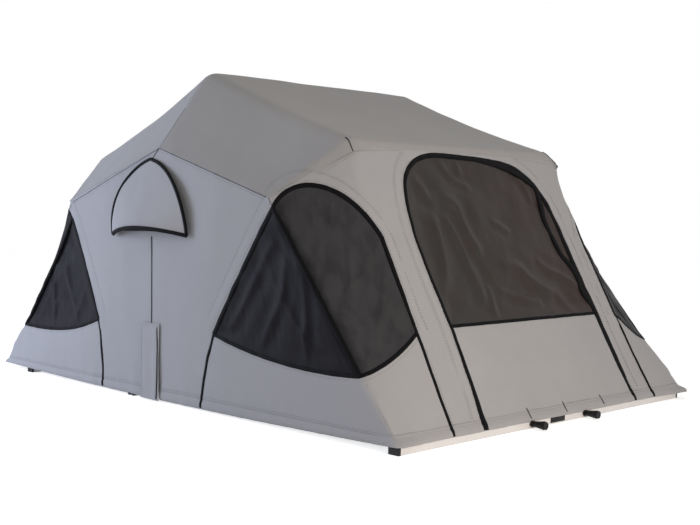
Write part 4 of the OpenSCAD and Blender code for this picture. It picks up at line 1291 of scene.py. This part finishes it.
class TENT_OT_hinge_flaps(bpy.types.Operator):
    """Hang the flaps that cover the fold line on each side"""
    bl_idname = "tent.hinge_flaps"
    bl_label = "Hinge flaps"

    def execute(self, context):
        sizes = context.scene.tent_sizes
        nx, nz = 18, 40
        x, z = np.meshgrid(np.linspace(-0.5, 0.5, nx), np.linspace(0, 1, nz))
        quads = grid_quads(nz, nx)
        for side in (-1, 1):
            px = FLAP_X + x * FLAP_W
            pz = FLAP_LOW + z * (FLAP_TOP - FLAP_LOW)
            p0 = side_plane(px.ravel(), pz.ravel(), side)
            curl = 0.0030 * bell(x.ravel() - 0.28, 0.12) * (1 - z.ravel() ** 3)
            out = 0.0088 - 0.003 * z.ravel() ** 4 + curl + 0.0012 * waves(p0, 18.0, 2.2 + side)
            out += 0.4 * drape(p0, np.full(len(p0), 0.05), sizes)
            pts = p0 + np.array([0, side, 0]) * out[:, None]
            flat = np.stack([px.ravel(), pz.ravel()], -1)
            quads_out = facing_out(pts, quads)
            flap = make_object(f"{SIDE_NAME[side]}_hinge_flap", pts, quads_out, flat, "woven_wall_canvas")
            thicken(flap, sizes.cloth)
            smooth(flap)
            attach(flap, "base")
            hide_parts("hinge_flaps")
            strip = Soup()
            zs = np.linspace(FLAP_LOW + 0.006, FLAP_TOP - 0.012, 30)
            rise = (zs - FLAP_LOW) / (FLAP_TOP - FLAP_LOW)
            xs = FLAP_X + FLAP_W * (0.39 + 0.06 * np.sin(math.pi * rise))
            bow = np.interp(zs, pz[:, 0], np.max(out.reshape(nz, nx)[:, 12:], axis=1))
            line3 = np.stack([xs, side * (HALF_W + bow + 0.0002), zs], -1)
            strip.tape(line3, [0.0, side, 0.0], width=0.0034, lift=0.0010, sink=0.003)
            tape = strip.build(f"{SIDE_NAME[side]}_flap_tape", "woven_binding_tape")
            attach(tape, "base")
            grid = pts.reshape(nz, nx, 3)
            rows = Soup()
            for path in (grid[1:-1, 1], grid[-2, 1:-1]):
                rows.stitches(path + [0, 0.0003 * side, 0], [0.0, side, 0.0], sizes.stitch)
            thread = rows.build(f"{SIDE_NAME[side]}_flap_thread", "spun_thread", THREAD_SHADE)
            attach(thread, "base")
        return {"FINISHED"}


class TENT_OT_bindings(bpy.types.Operator):
    """Sew the black bound edges and zips of the windows and doors"""
    bl_idname = "tent.bindings"
    bl_label = "Bindings"

    def execute(self, context):
        sizes = context.scene.tent_sizes
        for end in (1, -1):
            name = END_NAME[end]
            tape = Soup()
            for side in (-1, 1):
                around = np.vstack([window_arch(end, side), window_right(side)[1:],
                                    edge_line(side, WIN_END_Z, 0.024, 24)[1:]])
                for path, widths, lift in (
                        (around, (1.0, 1.1, 1.0, 0.95, 0.75, 0.7), 0.0034),
                        (window_bottom(end, side), (0.8, 0.9, 0.8), 0.0024),
                        (window_left(end), (1.2, 1.25), 0.0034),
                        (fold_line(end), (1.0, 1.0), 0.0055),
                        (foot_piping(end), (0.85, 0.85), 0.0024)):
                    bind(tape, path * [side, 1], widths, end, sizes, lift, sink=0.003)
            edge = tape.build(f"{name}_window_binding", "woven_binding_tape")
            fan(edge)
            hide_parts(f"{name}_corner_binding")
            door = Soup()
            for path, widths in (
                    (door_half(-1) * [-1, 1], (1.5, 1.15, 1.0, 0.85, 0.85, 0.8, 0.8, 0.95, 1.15, 1.3, 1.3)),
                    (door_half(1), (0.9, 1.9, 1.9, 1.7, 1.5, 1.5, 1.5, 1.5, 1.4, 1.3, 1.3)),
                    (line([-0.368, DOOR_SILL], [0.430, DOOR_SILL], 30), (0.75, 0.75)),
                    # the mesh's zip is part open on the far side: its free edge hangs clear of the door's
                    (beside(through(FREE_EDGE), 0.009),
                     (0.4, 0.8, 1.2, 1.6, 1.7, 1.3, 1.0, 1.5, 1.7, 1.5, 1.4, 1.6, 1.9, 1.7, 1.9, 0.8))):
                bind(door, path, widths, end, sizes, lift=0.003, sink=0.004)
            zip_edge = door.build(f"{name}_door_zip", "woven_binding_tape")
            fan(zip_edge)
            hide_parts(f"{name}_door_binding")
        return {"FINISHED"}


class TENT_OT_stitching(bpy.types.Operator):
    """Run the thread along the seams and beside the bound edges"""
    bl_idname = "tent.stitching"
    bl_label = "Stitching"

    def execute(self, context):
        sizes = context.scene.tent_sizes
        pitch = sizes.stitch
        roof = rounded(roof_rows(sizes), ROOF_CUTS)
        for end in (1, -1):
            rows = Soup()
            for side in (-1, 1):
                def run(path, rise=0.0):
                    p, n = on_walls(np.asarray(path) * [side, 1], end, sizes, lift=THREAD_LIFT + rise)
                    rows.stitches(p, n, pitch)
                arch = np.vstack([window_arch(end, side), window_right(side)[1:]])
                for gap in (0.014, 0.044, 0.050):
                    run(beside(arch, -gap), rim(gap))
                run(beside(window_bottom(end, side), -0.014))
                for gap in (0.014, 0.046):
                    run(beside(window_left(end), -gap), rim(gap))
                heights = np.linspace(WIN_FOOT_Z - 0.02, HEM_Z, 14)
                run(np.array([[side_g(crease_x(z), z), z] for z in heights]))
                run(edge_line(side, WIN_END_Z, HEM_Z, 20) - [0.012, 0])
                for gap in (0.013, 0.044, 0.050):
                    run(beside(door_half(side, HEM_Z, 0.85), -gap), rim(gap))
                under = EAVE_Z - FLANGE
                run(np.array([[EAVE_Y, under - 0.017], [EAVE_Y - 0.2, under - 0.004], [0.28, under - 0.004]]))
                shoulder = np.array([side_g(SHOULDER_X, SHOULDER_Z) - 0.004, SHOULDER_Z - 0.010])
                run(line(shoulder, [EAVE_Y, under - 0.017], 20))
                run(line(shoulder - [0.0, 0.008], [EAVE_Y, under - 0.025], 20))
                # dart where the roof's edge turns the corner
                column = np.argmin(np.abs(roof[-2][:, 1] - side * EAVE_Y))
                p = roof[-8:, column] * [end, 1, 1]
                n = np.array([0.75 * end, 0.35 * side, 0.56])
                rows.tape(p + n * 0.0028, n, width=0.0015, lift=0.0007, sink=0.004)
            thread = rows.build(f"{END_NAME[end]}_seam_thread", "spun_thread", THREAD_SHADE)
            fan(thread)
            hem = Soup()
            reach = end_x(HEM_Z) + HALF_W - 0.006
            g = np.linspace(-reach, reach, 360)
            for z in (HEM_Z - 0.003, HEM_Z - 0.009):
                p, n = on_walls(np.stack([g, np.full(len(g), z)], -1), end, sizes, lift=0.0012)
                hem.stitches(p, n, pitch)
            for y in (-0.147, 0.046, 0.260):
                p, n = on_walls([[y, 0.030], [y - 0.003, 0.063]], end, sizes, lift=0.0020)
                hem.tape(p, n, width=0.0022, lift=0.0008, sink=0.001)
            band = hem.build(f"{END_NAME[end]}_hem_thread", "spun_thread", THREAD_SHADE)
            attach(band, "fold_platform" if end > 0 else "base")
        for side in (-1, 1):
            rows = Soup()
            gable = np.array([[-SHOULDER_X, SHOULDER_Z], [0, GABLE_Z], [SHOULDER_X, SHOULDER_Z]])
            p, n = on_side(gable - [0, 0.012], side, sizes, lift=THREAD_LIFT)
            rows.stitches(p, n, pitch)
            p, n = on_side(gable - [0, 0.003], side, sizes, lift=THREAD_LIFT)
            rows.tape(p, n, width=0.0020, lift=0.0007, sink=0.002)
            for path, rise in (([[0.0, GABLE_Z - 0.003], [VENT_X, VENT_Z + VENT_H]], 0.001),
                               ([[-0.045, VENT_Z - 0.004], [-0.047, FLAP_TOP]], 0.0026)):
                p, n = on_side(path, side, sizes, lift=THREAD_LIFT + rise, seam=0.2)
                rows.tape(p, n, width=0.0030, lift=0.0009, sink=0.005)
            # seam up the roof's fold over the middle bow
            t = np.linspace(0.0, 0.5, 30)[:, None]
            low, high = np.array([0.0, side * HALF_W, GABLE_Z]), np.array([0.0, side * EAVE_Y, RIDGE_Z])
            p = low * (1 - t) + high * t
            up_slope, inward = RIDGE_Z - GABLE_Z, HALF_W - EAVE_Y
            n = np.array([0.0, side * up_slope, inward]) / math.hypot(up_slope, inward)
            p = p + n * (drape(p, 0.37 * t[:, 0], sizes) - 0.0026)[:, None]
            rows.tape(p, n, width=0.0024, lift=0.0009, sink=0.003)
            thread = rows.build(f"{SIDE_NAME[side]}_seam_thread", "spun_thread", THREAD_SHADE)
            fan(thread)
        return {"FINISHED"}


class TENT_OT_flat_cuts(bpy.types.Operator):
    """Clear the list of the cloths' flat cuts"""
    bl_idname = "tent.flat_cuts"
    bl_label = "Flat cuts"

    def execute(self, context):
        SHEETS.clear()
        return {"FINISHED"}


class TENT_OT_mattresses(bpy.types.Operator):
    """Make the two foam mattress halves with crowned tops and sewn channels"""
    bl_idname = "tent.mattresses"
    bl_label = "Mattresses"

    def execute(self, context):
        for node in ("base_mattress", "fold_mattress"):
            low, high = (np.array(v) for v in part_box(node))
            mid, half = (low + high) / 2, (high - low) / 2
            nx, ny = 60, 76
            u = np.sin(np.linspace(-1, 1, nx) * math.pi / 2)
            v = np.sin(np.linspace(-1, 1, ny) * math.pi / 2)
            uu, vv = np.meshgrid(u, v)
            # rounded edges, and dips along the sewn channels
            edge = np.minimum(1 - np.abs(uu) ** 14, 1 - np.abs(vv) ** 14)
            dip = sum(bell(np.abs(uu) - c, 0.016) for c in (0.0, 0.36, 0.72))
            dip = dip + sum(bell(np.abs(vv) - c, 0.012) for c in (0.0, 0.4, 0.8))
            crown = low[2] + (high[2] - low[2]) * (0.5 + 0.48 * edge) - 0.0045 * np.clip(dip, 0, 1) * edge
            top = np.stack([mid[0] + uu * half[0], mid[1] + vv * half[1], crown], -1)
            base = np.stack([mid[0] + uu * (half[0] - 0.004), mid[1] + vv * (half[1] - 0.004),
                             np.full(uu.shape, low[2] + 0.0004)], -1)
            pts = np.vstack([top.reshape(-1, 3), base.reshape(-1, 3)]) - [FOLD_X, 0, 0]
            n = nx * ny
            quads = grid_quads(ny, nx).tolist()
            under = [[n + q for q in reversed(f)] for f in quads]
            loop = (list(range(nx - 1)) + [j * nx + nx - 1 for j in range(ny - 1)]
                    + [n - 1 - i for i in range(nx - 1)] + [(ny - 1 - j) * nx for j in range(ny - 1)])
            walls = [[a, n + a, n + b, b] for a, b in zip(loop, loop[1:] + loop[:1])]
            pad = make_object(f"{node}_pad", pts, quads + under + walls, pts[:, :2], "knitted_cover")
            smooth(pad, 60)
            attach(pad, "base" if node.startswith("base") else "fold_platform")
            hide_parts(node)
        return {"FINISHED"}


class TENT_OT_rail_plate(bpy.types.Operator):
    """Fit the plain plate between the ladder knobs"""
    bl_idname = "tent.rail_plate"
    bl_label = "Rail plate"

    def execute(self, context):
        bpy.ops.object.select_all(action="DESELECT")
        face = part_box("ladder_rail")[1][0]
        bpy.ops.mesh.primitive_cube_add(size=1.0, location=(face + PLATE_SIZE[0] / 2, PLATE_Y, PLATE_Z))
        plate = context.active_object
        plate.name = "rail_plate"
        plate.scale = PLATE_SIZE
        bpy.ops.object.transform_apply(location=True, rotation=True, scale=True)
        mod = plate.modifiers.new("edge", "BEVEL")
        mod.width, mod.segments = 0.0005, 2
        bpy.ops.object.modifier_apply(modifier=mod.name)
        plate.data.materials.append(bpy.data.materials["moulded_black_nylon"])
        smooth(plate, 40)
        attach(plate, "fold_platform")
        return {"FINISHED"}


# ---------------------------------------------------------------- stage
class TENT_OT_stage(bpy.types.Operator):
    """Set the floor, the soft light and the camera"""
    bl_idname = "tent.stage"
    bl_label = "Stage"

    def execute(self, context):
        scene = context.scene
        bpy.ops.object.select_all(action="DESELECT")
        bpy.ops.mesh.primitive_plane_add(size=60, location=(0, 0, -0.0005))
        floor = context.active_object
        floor.name = "floor"
        tree, bsdf = new_finish("matte_white_floor", Roughness=1.0, Specular_IOR_Level=0.0,
                                Base_Color=linear("EDEDED"), Emission_Color=(*[FLOOR_GLOW] * 3, 1))
        tree.links.new(self.seen(tree), bsdf.inputs["Emission Strength"])
        floor.data.materials.append(bpy.data.materials["matte_white_floor"])
        world = bpy.data.worlds.new("soft_white_studio")
        scene.world = world
        world.use_nodes = True
        tree = world.node_tree
        back = tree.nodes["Background"]
        back.inputs["Color"].default_value = (1, 1, 1, 1)
        tree.links.new(ranged(tree, self.seen(tree), to=(SKY_LIGHT, 1.0)), back.inputs["Strength"])
        for name, place, aim, size, power, code in LIGHTS:
            lamp = bpy.data.lights.new(name, "AREA")
            lamp.energy, lamp.size, lamp.color = power, size, linear(code)[:3]
            obj = bpy.data.objects.new(name, lamp)
            obj.location = place
            obj.rotation_euler = (Vector(aim) - Vector(place)).to_track_quat("-Z", "Y").to_euler()
            scene.collection.objects.link(obj)
        az, el, roll = VIEW_TURN
        behind = Vector((math.sin(az) * math.cos(el), -math.cos(az) * math.cos(el), math.sin(el)))
        right = (-behind).cross(Vector((0, 0, 1))).normalized()
        top = right.cross(-behind)
        c, s = math.cos(roll), math.sin(roll)
        turn = Matrix((c * right + s * top, -s * right + c * top, behind)).transposed()
        lens = bpy.data.cameras.new("photo_view")
        lens.sensor_width, lens.lens = SENSOR, VIEW_FOCAL * SENSOR
        cam = bpy.data.objects.new("photo_view", lens)
        cam.matrix_world = Matrix.Translation(VIEW_PLACE) @ turn.to_4x4()
        scene.collection.objects.link(cam)
        scene.camera = cam
        scene.view_settings.view_transform = "Standard"
        return {"FINISHED"}

    @staticmethod
    def seen(tree):
        """1 for what the camera, a reflection or glass sees, 0 for the light that falls on things."""
        path = add_node(tree, "ShaderNodeLightPath").outputs
        one = calc(tree, "MAXIMUM", path["Is Camera Ray"], path["Is Glossy Ray"])
        return calc(tree, "MAXIMUM", one, path["Is Transmission Ray"])


OPERATORS = (TENT_OT_finishes, TENT_OT_roof, TENT_OT_side_walls, TENT_OT_end_walls, TENT_OT_mesh_windows,
             TENT_OT_vent_hoods, TENT_OT_skirts, TENT_OT_hinge_flaps, TENT_OT_bindings, TENT_OT_stitching,
             TENT_OT_flat_cuts, TENT_OT_mattresses, TENT_OT_rail_plate, TENT_OT_stage)


class TENT_PT_panel(bpy.types.Panel):
    """Buttons that dress the tent, in order"""
    bl_idname = "TENT_PT_panel"
    bl_label = "Roof top tent"
    bl_space_type = "VIEW_3D"
    bl_region_type = "UI"
    bl_category = "Tent"

    def draw(self, context):
        for op in OPERATORS:
            self.layout.operator(op.bl_idname)
        for group in (context.scene.tent_sizes, context.scene.tent_colours):
            box = self.layout.box()
            for key in group.bl_rna.properties.keys():
                if key not in ("rna_type", "name"):
                    box.prop(group, key)


CLASSES = (TentCanopySizes, TentColours, *OPERATORS, TENT_PT_panel)


def register():
    for cls in CLASSES:
        bpy.utils.register_class(cls)
    bpy.types.Scene.tent_sizes = PointerProperty(type=TentCanopySizes)
    bpy.types.Scene.tent_colours = PointerProperty(type=TentColours)


def unregister():
    del bpy.types.Scene.tent_colours
    del bpy.types.Scene.tent_sizes
    for cls in reversed(CLASSES):
        bpy.utils.unregister_class(cls)


def main():
    register()
    for op in OPERATORS:
        group, name = op.bl_idname.split(".")
        getattr(getattr(bpy.ops, group), name)()


if __name__ == "__main__":
    main()
